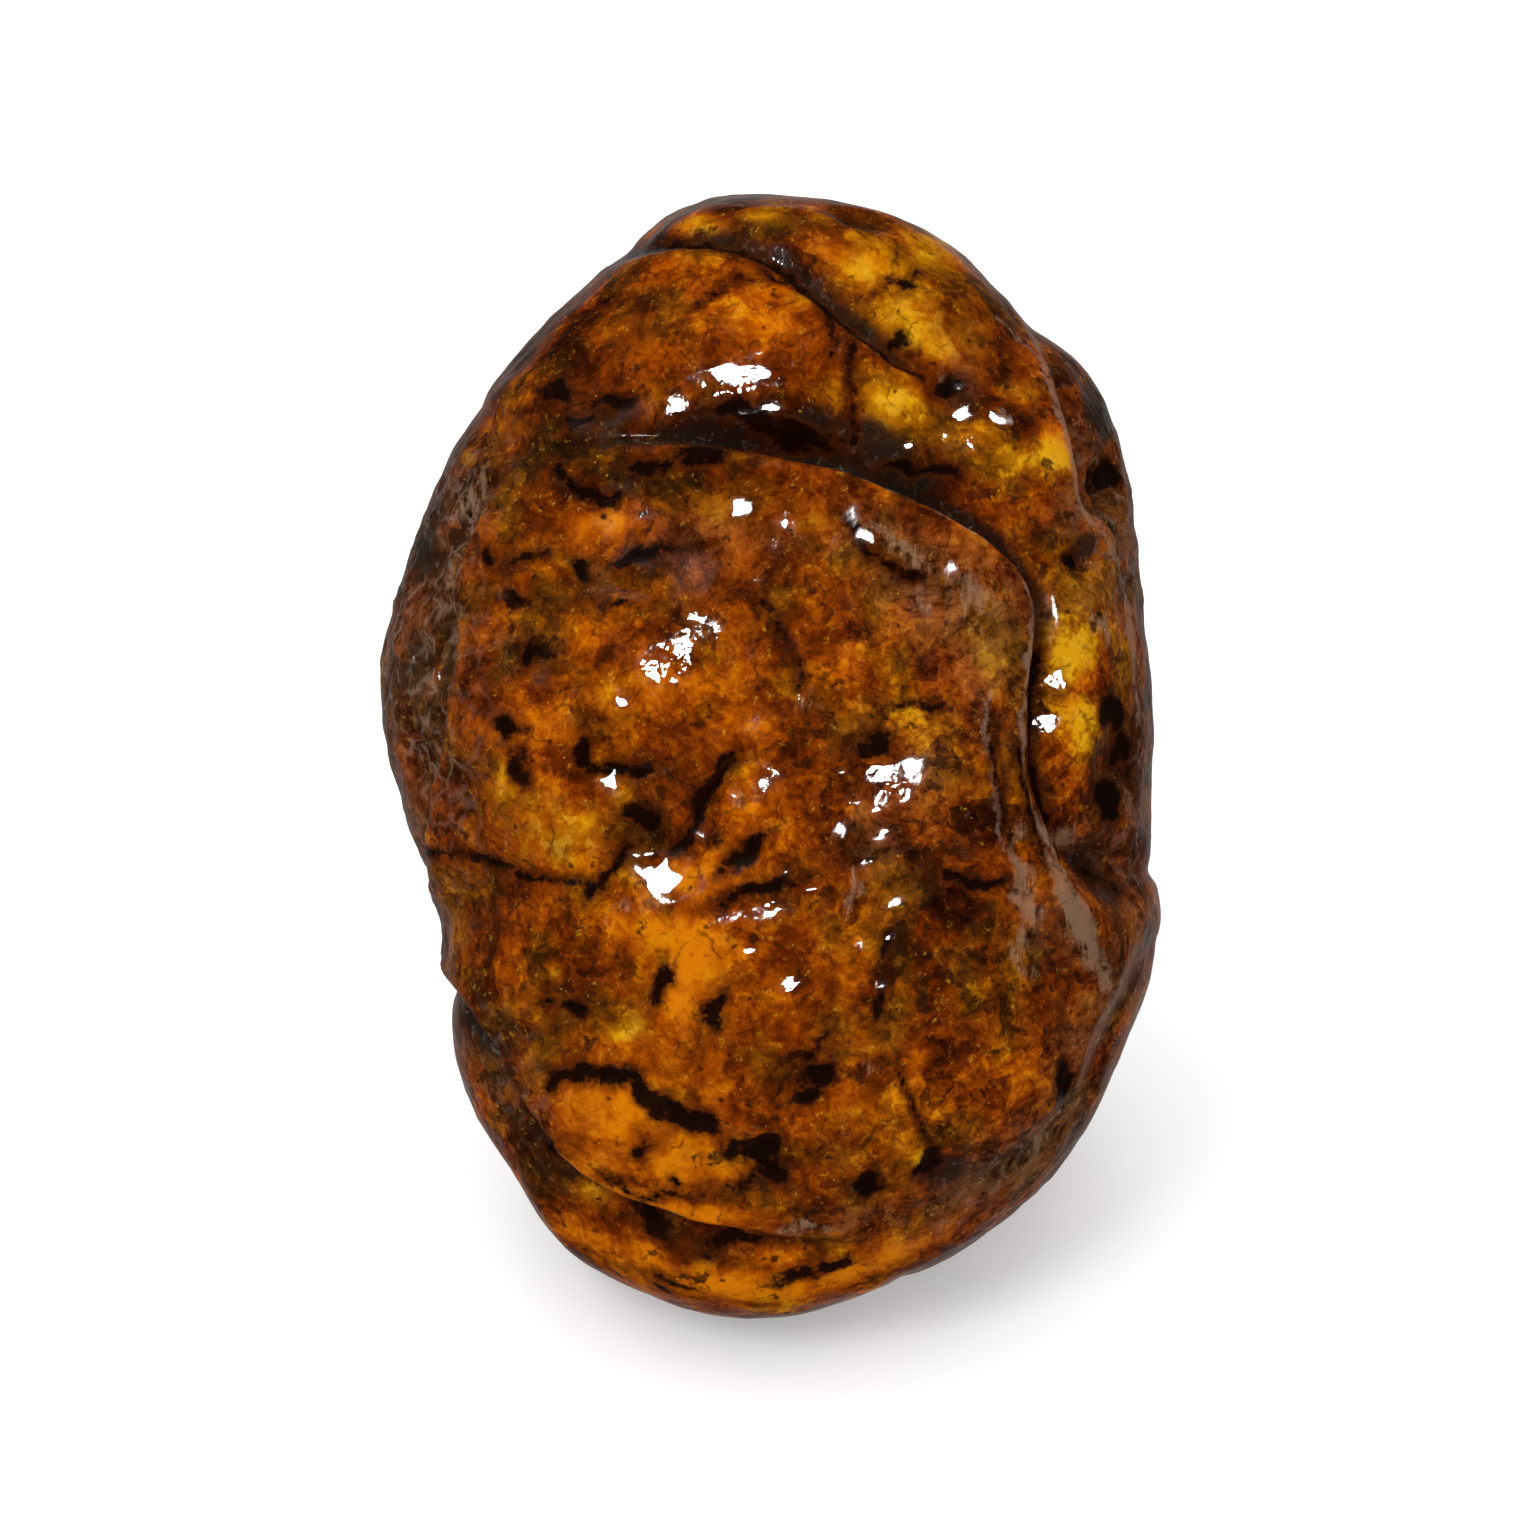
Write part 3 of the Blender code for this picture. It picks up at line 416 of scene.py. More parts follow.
# ---- Colour fields ----------------------------------------------------------------------------------------------
# Dark marks of the face, in millimetres: (u, v, half width, half height, tilt). The long thin ones along the
# fold over the bulge, at v from about 17 to 22, are painted shade in its groove; the others are dark marks of
# the amber.
DARK_MARKS = [
    (5.4, 33.7, 1.1, 0.3, -10), (8.9, 29.6, 0.5, 0.3, 0), (8.1, 26, 0.9, 0.5, -20), (11.4, 23.1, 1, 0.6, -10),
    (8.7, 18.4, 1.3, 0.5, -10), (11, 18.1, 1, 0.5, -20), (-1.5, 21.7, 1.7, 0.8, -10),
    (1.9, 20.4, 2.6, 0.6, -12), (-10.8, 16, 1, 0.5, -20), (-12, 21, 0.9, 0.5, 0), (-9.6, 21.9, 1.2, 0.5, 10),
    (-13.4, 23, 1, 0.6, 0), (-17.2, 12.2, 0.3, 0.6, 0), (-14.9, 12.6, 0.5, 0.3, 30),
    (-15.9, 11.8, 0.6, 0.2, 45), (-16, 9.6, 0.9, 0.7, -20), (-14.5, 6.2, 0.6, 1, 20), (-16, 1.6, 0.7, 0.6, -20),
    (-15.2, -0.6, 0.4, 0.9, 0), (-10.7, 15.9, 0.8, 0.5, 0), (-9.1, 9.3, 1.1, 0.3, -8),
    (-11.5, 11.5, 0.8, 0.5, 0), (-7.8, 12.3, 1.9, 0.5, 10), (-11.6, 0.2, 0.6, 0.9, 0), (-7.7, -1, 0.6, 0.4, 0),
    (-7.8, -3.5, 1.3, 0.8, -20), (-4.5, -3.1, 0.5, 1, -20), (-4.3, 18.6, 1.8, 0.5, 0), (-0.9, 19, 1.5, 0.5, 0),
    (-7.4, 17.7, 1.3, 0.4, 0), (17, 5.5, 0.4, 1.2, 0), (19.9, 12.5, 0.7, 0.8, 0), (21.8, 2.7, 0.8, 1.2, 0),
    (22.6, 0.6, 0.6, 1.3, 0), (22.2, -2.8, 0.8, 1.3, 0), (21.8, -7.6, 1.5, 0.7, -25), (17.3, -3, 0.5, 0.6, 0),
    (22.4, 18, 0.5, 1, 8), (7.6, 11.7, 1.5, 0.3, -28), (9.4, 3.1, 1.8, 0.3, -3), (12, -7.5, 2.2, 0.5, -4),
    (6.2, 0.6, 1.3, 0.5, 10), (-1.4, -5.9, 1.8, 0.5, 38), (-3.3, -5.1, 0.5, 0.3, 0), (-0.7, -8.5, 2.3, 0.5, 15),
    (-2.6, -9.2, 0.8, 0.4, 20), (-6.7, -13.8, 0.5, 1.3, -10), (-3.5, -15.7, 0.6, 1.2, -35),
    (-12.1, -15.8, 0.9, 0.5, 0), (-13.9, -15.4, 0.5, 0.3, 0), (-7.8, -24.2, 0.5, 0.8, -10),
    (-2.1, -24.1, 1.2, 0.6, -20), (-0.6, -24.5, 1.4, 0.8, -35), (0.3, -26, 1.2, 0.6, 0),
    (-2.1, -26.6, 1, 0.3, 0), (2.8, -19.5, 1.2, 0.8, 20), (2, -20.9, 0.8, 0.5, 30), (1.7, -18.6, 1.7, 0.2, 38),
    (-5.5, -26.2, 0.4, 0.3, 0), (-9.3, -26.6, 0.8, 0.3, -30), (-6.4, -27, 1.7, 0.2, -4),
    (6.3, -26.9, 1, 0.6, 0), (10.1, -25.8, 1.4, 0.9, 10), (18.5, -20.3, 0.9, 1.2, 0),
    (-15, -23.6, 1.8, 0.5, -22), (-14.9, -25.3, 1.3, 0.6, -30), (-7.8, -30.4, 1.9, 0.7, -35),
    (-2.4, -31.4, 2.2, 0.6, 12), (-6.5, -33.8, 1.5, 0.3, -15), (1.8, -33.3, 1, 0.3, 10),
    (4.2, -32.4, 1.2, 0.5, 15), (-18.4, -17, 0.5, 1.2, 20), (-17.1, -20.5, 0.6, 0.9, 20),
    (-4.3, -22.6, 0.9, 0.4, -30),
]
# Dark lines: (half width, route). The first, along the crown's fold, and the last, in the gap left of the right
# strip, are painted shade in those grooves; the others are dark cracks and seams.
DARK_LINES = [
    (0.32, [(-10.8, 32.5, 1), (-8.2, 32.5, 1), (-6.2, 32.5, 1), (-4.1, 32.3, 1), (-1.9, 31.8, 1), (0.3, 30.9, 1),
            (2.2, 29.5, 1), (3.9, 28, 1), (5.5, 26.5, 1), (7.2, 25.1, 1), (8.8, 24.1, 1), (9.8, 23.9, 1)]),
    (0.16, [(3.8, 27.4, 1), (4, 26.1, 1), (3.8, 24.8, 1)]),
    (0.18, [(4.9, 26, 1), (5.1, 23.3, 1), (5.1, 21.7, 1), (5.3, 19.8, 1)]),
    (0.10, [(-5.4, 27.4, 1), (-4.1, 28.6, 1), (-2.2, 29.7, 1), (-0.3, 30.1, 1), (1.6, 29.7, 1)]),
    (0.30, [(-11.6, 0.8, 1), (-11.4, -0.4, 1), (-10.5, -0.8, 1), (-8.9, -0.8, 1), (-7.4, -0.9, 1)]),
    (0.38, [(-2.5, -0.1, 1), (-3.6, -1.7, 1), (-4.5, -3.4, 1), (-4.9, -4.9, 1), (-6, -5.9, 1)]),
    (0.28, [(-8.8, -5.6, 1), (-9.8, -7, 1), (-11.4, -8.5, 1)]),
    (0.20, [(-21.7, -6, 1), (-18.8, -6.1, 1), (-16.5, -6.7, 1), (-14.3, -7.5, 1), (-12.4, -7.8, 1),
            (-10.5, -7.7, 1)]),
    (0.16, [(-0.5, 9.5, 1), (0.3, 8.3, 1), (1.2, 6.8, 1), (1.7, 5.4, 1), (1.8, 4, 1)]),
    (0.48, [(-13.4, -20.4, 0.7), (-13.1, -19.8, 1), (-11.8, -19.6, 0.8), (-9.9, -19.7, 1.1), (-8.2, -19.8, 0.7),
            (-7.7, -20.9, 1.2), (-6.3, -21.8, 1.2), (-4.4, -22.9, 0.7)]),
    (0.14, [(7.8, -19.8, 1), (8.6, -21.1, 1), (9.3, -22.7, 1), (10, -24.2, 1)]),
    (0.14, [(7.3, -10.8, 1), (6.9, -13, 1), (6.7, -15.1, 1), (6.7, -16.7, 1)]),
    (0.30, [(-13.1, 17.7, 1), (-12.1, 16.6, 1), (-10.7, 15.8, 1), (-9.4, 16.2, 1)]),
    (0.22, [(5.4, 13, 1), (6.7, 11.9, 1), (8, 11.2, 1), (9.4, 10.7, 1)]),
    (0.16, [(13.6, 0.9, 1), (13.8, -1.0, 1), (14.1, -2.8, 1), (14.5, -4.2, 1)]),
    (0.16, [(15.4, 0.3, 1), (15.7, -1.9, 1), (16.1, -3.6, 1), (16.8, -5.3, 1)]),
    (0.30, [(5.3, 13.3, 1), (5.0, 14.2, 0.6), (3.8, 14.9, 0.3)]),
    (0.42, [(17.0, 10.5, 0.8), (17.0, 8.0, 1), (16.9, 5.5, 0.8), (16.6, 2.8, 1), (16.6, 0.2, 0.7), (17.2, -2.4, 1),
            (18.2, -4.8, 0.8)]),
]
# Painted reflection: pale lines along the lips and edges of the folds, which stand for the sheen of the white
# surroundings: (half width, route).
EDGE_SHEEN_LINES = [
    (0.22, [(14.2, 27.6, 0.5), (17.0, 25.0, 1), (18.1, 22.1, 1), (18.9, 19.6, 1), (19.8, 16.4, 1), (20.7, 14.5, 0.8)]),
    (0.20, [(20.7, 15.6, 0.5), (22.0, 13.0, 1), (23.0, 10.0, 1), (23.4, 6.5, 0.8), (23.8, 2.0, 0.6)]),
    (0.14, [(13.4, 4.0, 0.5), (13.3, 1.5, 1), (13.6, -1.0, 1), (13.9, -3.4, 1), (14.4, -6.0, 1)]),
    (0.16, [(14.8, 13.2, 0.6), (15.9, 11.4, 1), (16.2, 8.6, 1), (15.9, 5.6, 0.8), (15.6, 2.6, 1), (15.9, -0.6, 1),
            (16.5, -3.4, 1), (17.6, -5.7, 1), (19.0, -7.4, 0.7)]),
    (0.14, [(5.0, 17.5, 0.6), (8.0, 16.5, 1), (11.0, 15.0, 1), (13.8, 13.0, 0.8)]),
    (0.15, [(-20.6, 18.0, 0.6), (-19.4, 13.0, 1), (-20.3, 8.5, 1), (-20.1, 3.0, 0.8), (-21.6, -4.0, 0.8)]),
]
# Clear, lighter places of the face: (u, v, half width, half height, tilt, share).
HONEY = [
    (-4.4, 33.5, 2.2, 0.8, 0, 0.8), (-0.6, 33.7, 2.2, 0.6, 0, 0.6), (10.5, 32, 1.9, 1.7, -30, 0.8),
    (5.6, 30.7, 2.6, 1.2, -20, 0.8), (9.1, 27.2, 2.8, 2.2, -35, 0.9), (11.3, 25.6, 1.7, 1.7, 0, 0.8),
    (4.2, 22, 0.6, 1.5, 0, 0.7), (7.8, 22, 2.2, 1.5, -35, 1), (13.4, 19.6, 1.7, 1.7, 0, 0.5),
    (17.8, 18.8, 1.2, 1.2, 0, 1.3), (14.8, 18.7, 1.2, 0.8, 0, 0.8), (15.6, 22.9, 1.4, 1, 0, 0.5),
    (19.4, 10.3, 1.7, 1.9, 0, 0.7), (18.8, 6.3, 1.4, 2.2, 0, 1.1), (19.7, 2.2, 1.7, 2.2, 0, 1.0),
    (22.8, 6, 0.9, 3.2, 0, 0.6), (21.4, 8.5, 1.4, 1.5, 0, 0.5), (19.4, 12.2, 1.3, 1, 0, 0.4),
    (-8.7, -17, 1.5, 0.9, 30, 0.9), (-13.2, -13.3, 0.5, 0.5, 0, 0.9), (9.4, -25, 0.6, 0.6, 0, 1.2),
    (-19.6, 19.1, 0.5, 0.5, 0, 1.2), (13.3, 7.1, 1.8, 2.2, 0, 0.5), (-12.2, -4.6, 3.0, 2.6, 0, 1.0),
    (-8.1, 25.3, 1.3, 1.3, 0, 0.5), (-12.3, -28.2, 0.9, 1.4, 35, 0.7), (-7, -30.7, 0.9, 0.5, 0, 0.8),
]
ORANGE = [
    (-0.3, 26.5, 3.4, 2.3, -5, 0.55), (-1.9, 28.4, 2.6, 1, 15, 0.5), (-10.2, 14.2, 2.8, 1.2, 10, 0.9),
    (-13, 13.3, 1.5, 0.8, 0, 0.5), (-11.1, 7.1, 1.4, 1.9, 0, 0.4), (1.9, 15.1, 3.2, 1.7, -10, 0.35),
    (-13.9, 1.5, 3.2, 1.5, 0, 0.5), (-12.4, -4, 4.5, 3, 0, 0.5), (-8.6, -5.2, 1.7, 1.4, 0, 0.5),
    (-7.4, 4, 3.5, 2.6, 0, 0.55), (-4.3, 1.5, 1.9, 1.2, 0, 0.4), (-0.3, -2.2, 2.7, 2.3, 20, 0.9),
    (-4.3, -7.7, 2.8, 1.8, 20, 1), (-6.5, -10.8, 3, 1.5, 0, 0.9), (-5.2, -14.5, 1.9, 3.9, -10, 1),
    (-7.4, -18.3, 3.2, 1.9, 0, 0.7), (-1.8, -12.6, 3.9, 2.2, 0, 0.5), (-3.1, -18.9, 3.2, 2.6, 0, 0.4),
    (-10, -21.8, 3.6, 1.9, -10, 1.1), (-10.6, -24.7, 2.8, 1.5, 0, 0.9), (-5, -24.9, 3, 2.3, 0, 1),
    (-4.4, -28.4, 3.9, 0.8, -8, 0.9), (-8.1, -27.2, 2.3, 0.6, -20, 0.7), (5.6, -21.4, 3.9, 1.9, 0, 0.35),
    (15.6, -20.3, 1.5, 1.2, 0, 0.6), (9.1, -18.6, 0.8, 0.9, 0, 0.8), (8.4, -20.1, 1, 0.6, -20, 0.8),
    (10.5, 4, 2.6, 0.9, 0, 0.35), (14.3, -12.7, 1.2, 1.9, 0, 0.3), (14.2, 3.4, 0.8, 1.9, 0, 0.4),
    (-13.4, -30.7, 1.3, 0.8, -40, 0.7), (-7.1, -32.4, 2.8, 0.8, -12, 1), (-4.4, -34.6, 3.9, 0.6, 0, 0.6),
    (0.6, -32.3, 2.6, 0.6, 0, 0.8), (7, -32.1, 2.6, 1, 15, 0.6), (12.1, -30.2, 2.6, 0.8, 30, 0.4),
    (-2.0, -34.0, 7.0, 1.2, 0, 1.0), (6.0, -32.5, 5.0, 1.0, 18, 0.9), (-9.0, -32.5, 3.0, 0.9, -25, 0.8),
    (-1.5, 3.0, 4.5, 3.5, 0, 0.35), (5.0, 6.0, 5.0, 3.5, 0, 0.25), (-2.0, -16.5, 5.0, 3.0, 0, 0.4),
    (3.0, -12.0, 3.5, 4.0, 0, 0.3), (-6.5, 9.0, 3.0, 1.5, 0, 0.3),
]
# Dull crust, grey-brown: the same six numbers.
DULL = [
    (11.4, 10.2, 4.5, 3.5, -30, 0.8), (13.0, 6.0, 2.5, 3.5, 0, 0.6), (7.0, 13.5, 4.0, 1.6, -20, 0.6),
    (16.0, -10.0, 0.8, 2.4, 15, 0.6), (18.5, -10.5, 1.0, 2.6, 20, 0.6), (-3.0, 13.5, 4.5, 2.0, 0, 0.4),
    (20.0, 10.0, 1.2, 1.2, 0, 0.5), (19.5, 15.5, 1.5, 1.5, 0, 0.5), (12.0, 24.0, 1.0, 2.5, 0, 0.4),
    (6.5, -5.0, 2.0, 2.5, 0, 0.4), (9.0, -1.5, 2.0, 2.5, 0, 0.5), (21.0, -16.5, 2.2, 5.5, -25, 0.8),
    (15.5, -25.5, 5.5, 1.8, 35, 0.9), (6.0, -29.2, 4.0, 1.0, 5, 0.6),
]
# Pale, skin-like streaks and scabs. Those at the right of the bulge, at the lower right rim and on the left flank
# are a painted reflection of the white surroundings; the others are pale crust.
PALE = [
    (15.7, -8.0, 0.7, 3.0, 8, 1.1), (18.7, -9.8, 0.8, 3.8, 20, 1.1), (17.3, -4.4, 0.5, 2.2, 12, 0.7),
    (15.6, -12.5, 0.7, 1.8, 12, 0.6), (20.6, -13.6, 0.8, 2.2, 25, 0.7), (20.0, -5.2, 1.2, 0.9, -30, 0.8),
    (4.9, -7.5, 0.6, 2.6, -6, 0.6), (8.0, 12.9, 3.4, 0.7, -28, 0.7), (12.0, 10.5, 2.6, 1.0, -40, 0.6),
    (9.6, 9.0, 1.4, 1.0, -20, 0.5), (2.6, 3.6, 1.6, 0.7, -40, 0.5), (20.6, 7.8, 1.1, 1.1, 0, 0.7),
    (6.3, -19.2, 1.2, 0.7, -20, 0.5), (-9.0, -9.4, 1.0, 0.8, 30, 0.6), (4.4, 24.6, 0.8, 1.9, -5, 0.4),
    (11.5, 23.8, 0.7, 2.2, -35, 0.4), (2.2, -29.6, 3.0, 0.5, -5, 0.7), (18.0, -24.0, 0.6, 3.4, -38, 0.6),
    (21.8, -16.5, 0.7, 3.5, -14, 0.6), (-19.5, 16.5, 1.0, 2.2, -25, 0.6), (-21.0, 11.5, 0.8, 2.4, -10, 0.5),
]
# Broad darker places. Those along the crown's fold, in the valley over the bulge and in the groove over the
# foot's left end are painted shade; the others are darker amber.
SHADE = [
    (-4.5, 32.9, 5.5, 0.8, 0, 1.0), (1.6, 30.8, 2.8, 0.7, -30, 0.9), (5.6, 27.6, 2.6, 0.7, -42, 0.9),
    (-12.0, 20.5, 6.0, 3.0, 5, 0.7), (-15.0, 25.0, 4.0, 3.0, 40, 0.5), (-5.0, 18.0, 8.0, 1.8, 0, 0.8),
    (0.5, 20.8, 5.5, 1.6, -12, 1.0), (9.0, 18.3, 4.0, 1.4, -25, 0.8), (-8.0, 11.5, 3.5, 1.5, -5, 0.6),
    (12.5, 23.0, 2.5, 2.0, -20, 0.5), (22.3, 0.0, 1.6, 4.5, 0, 0.8), (-8.0, -4.5, 2.5, 1.8, -30, 0.7),
    (12.0, -9.0, 5.0, 4.0, 0, 0.5), (14.0, 0.0, 3.0, 4.0, 0, 0.5), (-14.9, -25.0, 2.5, 1.5, -30, 0.8),
    (-7.2, -30.7, 3.0, 1.4, -25, 0.7), (17.5, -22.5, 3.5, 3.0, 40, 0.4), (-17.5, -19.0, 1.6, 4.0, 30, 0.8),
    (-14.5, -26.5, 1.8, 3.6, 35, 0.9),
    (9.0, -12.0, 3.0, 5.0, 0, 0.35), (3.0, -20.0, 2.2, 1.6, 20, 0.5), (-20.5, 14.0, 2.0, 5.0, -15, 0.4),
]
# Places where the tone changes from grain to grain.
GRITTY = [
    (19.6, 3.0, 3.4, 13.0, 0, 1.0), (10.0, 3.0, 6.0, 9.0, 0, 0.8), (0.0, -4.0, 6.0, 6.0, 0, 0.5),
    (12.0, -12.0, 6.0, 7.0, 0, 0.5), (12.0, -20.0, 6.0, 4.0, 30, 0.7), (14.0, 18.0, 3.5, 3.5, 0, 0.6),
]
# Places where the wet skin is pimpled, so that the lamp glints in it: the same six numbers.
PIMPLED = [
    (-6.8, 5.0, 3.2, 2.6, 20, 1.0), (-4.8, 7.6, 1.2, 0.8, 0, 0.9), (-2.5, 13.7, 0.9, 0.5, 0, 0.8),
    (-2.6, 22.6, 3.8, 1.2, 12, 1.0), (3.5, 21.9, 1.4, 0.5, 0, 0.3), (7.6, -2.6, 2.2, 2.0, 20, 1.0),
    (4.8, -6.6, 0.6, 1.6, -8, 0.9), (6.6, -8.5, 0.5, 4.2, 8, 0.8), (-0.7, -9.4, 1.6, 0.6, 18, 1.0),
    (-1.0, -12.2, 1.8, 1.2, 0, 0.9), (1.0, -15.0, 0.8, 0.6, 0, 1.0), (-6.8, -3.4, 2.2, 0.8, 0, 0.6),
    (-0.4, -3.0, 1.6, 2.0, -20, 0.5), (-11.5, -10.0, 2.0, 0.8, 0, 0.5), (14.6, 17.4, 1.6, 1.0, 0, 0.5),
    (17.6, 2.5, 0.8, 4.0, 0, 0.6), (3.5, 3.5, 3.0, 2.5, 0, 0.45), (9.0, 10.5, 5.0, 2.5, -30, 0.35),
    (-3.2, -29.0, 1.0, 0.6, 0, 0.3), (-12.0, -29.0, 1.6, 0.8, -50, 0.8),
]
# Dry places, without the wet gloss.
DRY = [
    (-1.0, 16.0, 8.5, 2.8, -6, 1.8), (7.0, 14.4, 4.5, 2.4, -22, 1.8), (-2.0, 12.8, 2.6, 1.6, 0, 1.5),
    (6.6, 26.0, 3.6, 1.5, -42, 1.8), (0.3, 28.6, 1.6, 1.0, -35, 1.5), (3.8, 23.0, 3.0, 3.4, 0, 1.6),
    (16.9, 5.5, 1.1, 7.0, 0, 1.8), (-2.4, 29.2, 2.4, 1.0, 20, 1.8), (-11.0, -0.6, 2.2, 1.3, -20, 1.8),
    (-2.0, 19.5, 8.5, 0.9, -3, 1.6), (7.0, 18.0, 4.5, 0.9, -20, 1.6), (9.0, 10.0, 5.5, 4.0, -30, 0.35),
]
# Painted shade: olive-black colour in the valleys, gaps and hollows of the face, where shade falls.
VALLEY_SHADE = [
    (1.9, 19.6, 5.5, 1.3, -12, 1.0), (9.0, 17.9, 3.0, 0.8, -25, 0.9), (-9.3, 19.6, 4.5, 0.9, 3, 0.6),
    (16.9, 9.8, 0.8, 2.6, 0, 0.8), (21.9, -7.7, 1.8, 0.9, -20, 1.0), (10.7, -26.1, 1.6, 1.0, 10, 1.0),
    (21.5, 22.0, 1.2, 2.8, 15, 0.9), (20.3, 13.2, 0.8, 1.0, 0, 1.0), (-19.5, -17.5, 1.4, 2.6, 30, 0.9),
    (21.4, -7.4, 1.6, 2.4, 0, 1.0), (-22.6, 14.0, 1.0, 3.5, -20, 0.6), (-23.4, 6.0, 0.8, 3.0, 0, 0.5),
    (5.0, 0.5, 1.5, 0.9, 20, 0.5), (12.0, -4.5, 1.5, 3.0, 0, 0.4), (-3.0, 20.6, 5.0, 1.2, 4, 1.1),
    (4.0, 20.0, 4.5, 1.5, -12, 1.2),
]
MARK_REACH = 3.0          # how far outside a mark its field goes on falling, in mm
SHAKING = 7               # seed of the noise that pushes places about


def shaken(points, wavelength, reach):
    """The u and v of each place, pushed about by up to reach, to give painted shapes a natural edge."""
    noise.seed_set(SHAKING)
    pushes = np.array([noise.noise_vector(Vector(place)) for place in points / wavelength + 83.0])
    return (points[:, :2] + reach * pushes[:, :2]).T


def mark_field(u, v, marks, lines):
    """Distance inside the nearest mark or line, in millimetres: above zero inside, below it outside."""
    field = np.full(u.shape, -MARK_REACH)
    for middle_u, middle_v, half_width, half_height, tilt in marks:
        turn = math.radians(tilt)
        du, dv = u - middle_u, v - middle_v
        across = (du * math.cos(turn) + dv * math.sin(turn)) / half_width
        along = (dv * math.cos(turn) - du * math.sin(turn)) / half_height
        inside = (1.0 - np.hypot(across, along)) * min(half_width, half_height)
        field = np.maximum(field, inside)
    for half_width, route in lines:
        distance, strength = beside_route(route, u, v)
        field = np.maximum(field, half_width * strength - np.abs(distance))
    return field


def fold_depth(u, v, folds, reach=1.2):
    """How near each place is to the bottom of a fold: 1 in its groove, 0 at reach times its width."""
    depth = np.zeros(u.shape)
    for fold in folds.values():
        distance, strength = beside_route(fold["route"], u, v)
        width = fold["width"]
        near = np.exp(-(((distance + 0.5 * width) / (reach * width)) ** 2)) * np.clip(strength, 0.0, 1.0)
        depth = np.maximum(depth, near * min(1.0, fold["groove"] / 0.6))
    return depth


def hollowness(mesh, points, rounds=24):
    """How far each vertex lies under the mean of its neighbourhood, in millimetres."""
    ends = np.empty(len(mesh.edges) * 2, np.int32)
    mesh.edges.foreach_get("vertices", ends)
    starts, stops = ends.reshape(-1, 2).T
    count = np.bincount(ends, minlength=len(points))[:, None]
    level = points.copy()
    for _ in range(rounds):
        total = np.zeros_like(level)
        for axis in range(3):
            total[:, axis] = np.bincount(starts, level[stops, axis], len(points))
            total[:, axis] += np.bincount(stops, level[starts, axis], len(points))
        level = 0.5 * level + 0.5 * total / count
    return level - points


# ---- The skin's mesh --------------------------------------------------------------------------------------------
def box_directions(ball):
    """Cuts a cube into a fine grid and gives its vertices as directions, spread evenly over the lump."""
    cuts = [GRID_ACROSS, GRID_ACROSS, GRID_DEPTH]
    for axis in (2, 0, 1):
        edges = [e for e in ball.edges if abs(e.verts[0].co[axis] - e.verts[1].co[axis]) > 1e-6]
        bmesh.ops.subdivide_edges(ball, edges=edges, cuts=cuts[axis] - 1, use_grid_fill=True)
    places = np.array([vertex.co[:] for vertex in ball.verts])
    directions = places / np.linalg.norm(places, axis=1)[:, None]
    across = np.hypot(directions[:, 0], directions[:, 1])
    spread = across ** (SQUARENESS / 2.0)
    scale = spread / np.maximum(across, 1e-9)
    directions[:, :2] *= scale[:, None]
    directions[:, 2] = np.sign(directions[:, 2]) * np.sqrt(np.maximum(1.0 - spread**2, 0.0))
    return directions


def vertices_of(mesh):
    flat = np.empty(len(mesh.vertices) * 3, np.float32)
    mesh.vertices.foreach_get("co", flat)
    return flat.reshape(-1, 3).astype(float)


def normals_of(mesh):
    flat = np.empty(len(mesh.vertices) * 3, np.float32)
    mesh.vertex_normals.foreach_get("vector", flat)
    return flat.reshape(-1, 3).astype(float)


def put_vertices(mesh, points):
    mesh.vertices.foreach_set("co", points.astype(np.float32).ravel())
    mesh.update()


def put_field(mesh, name, values):
    mesh.attributes.new(name, "FLOAT", "POINT").data.foreach_set("value", values.astype(np.float32))


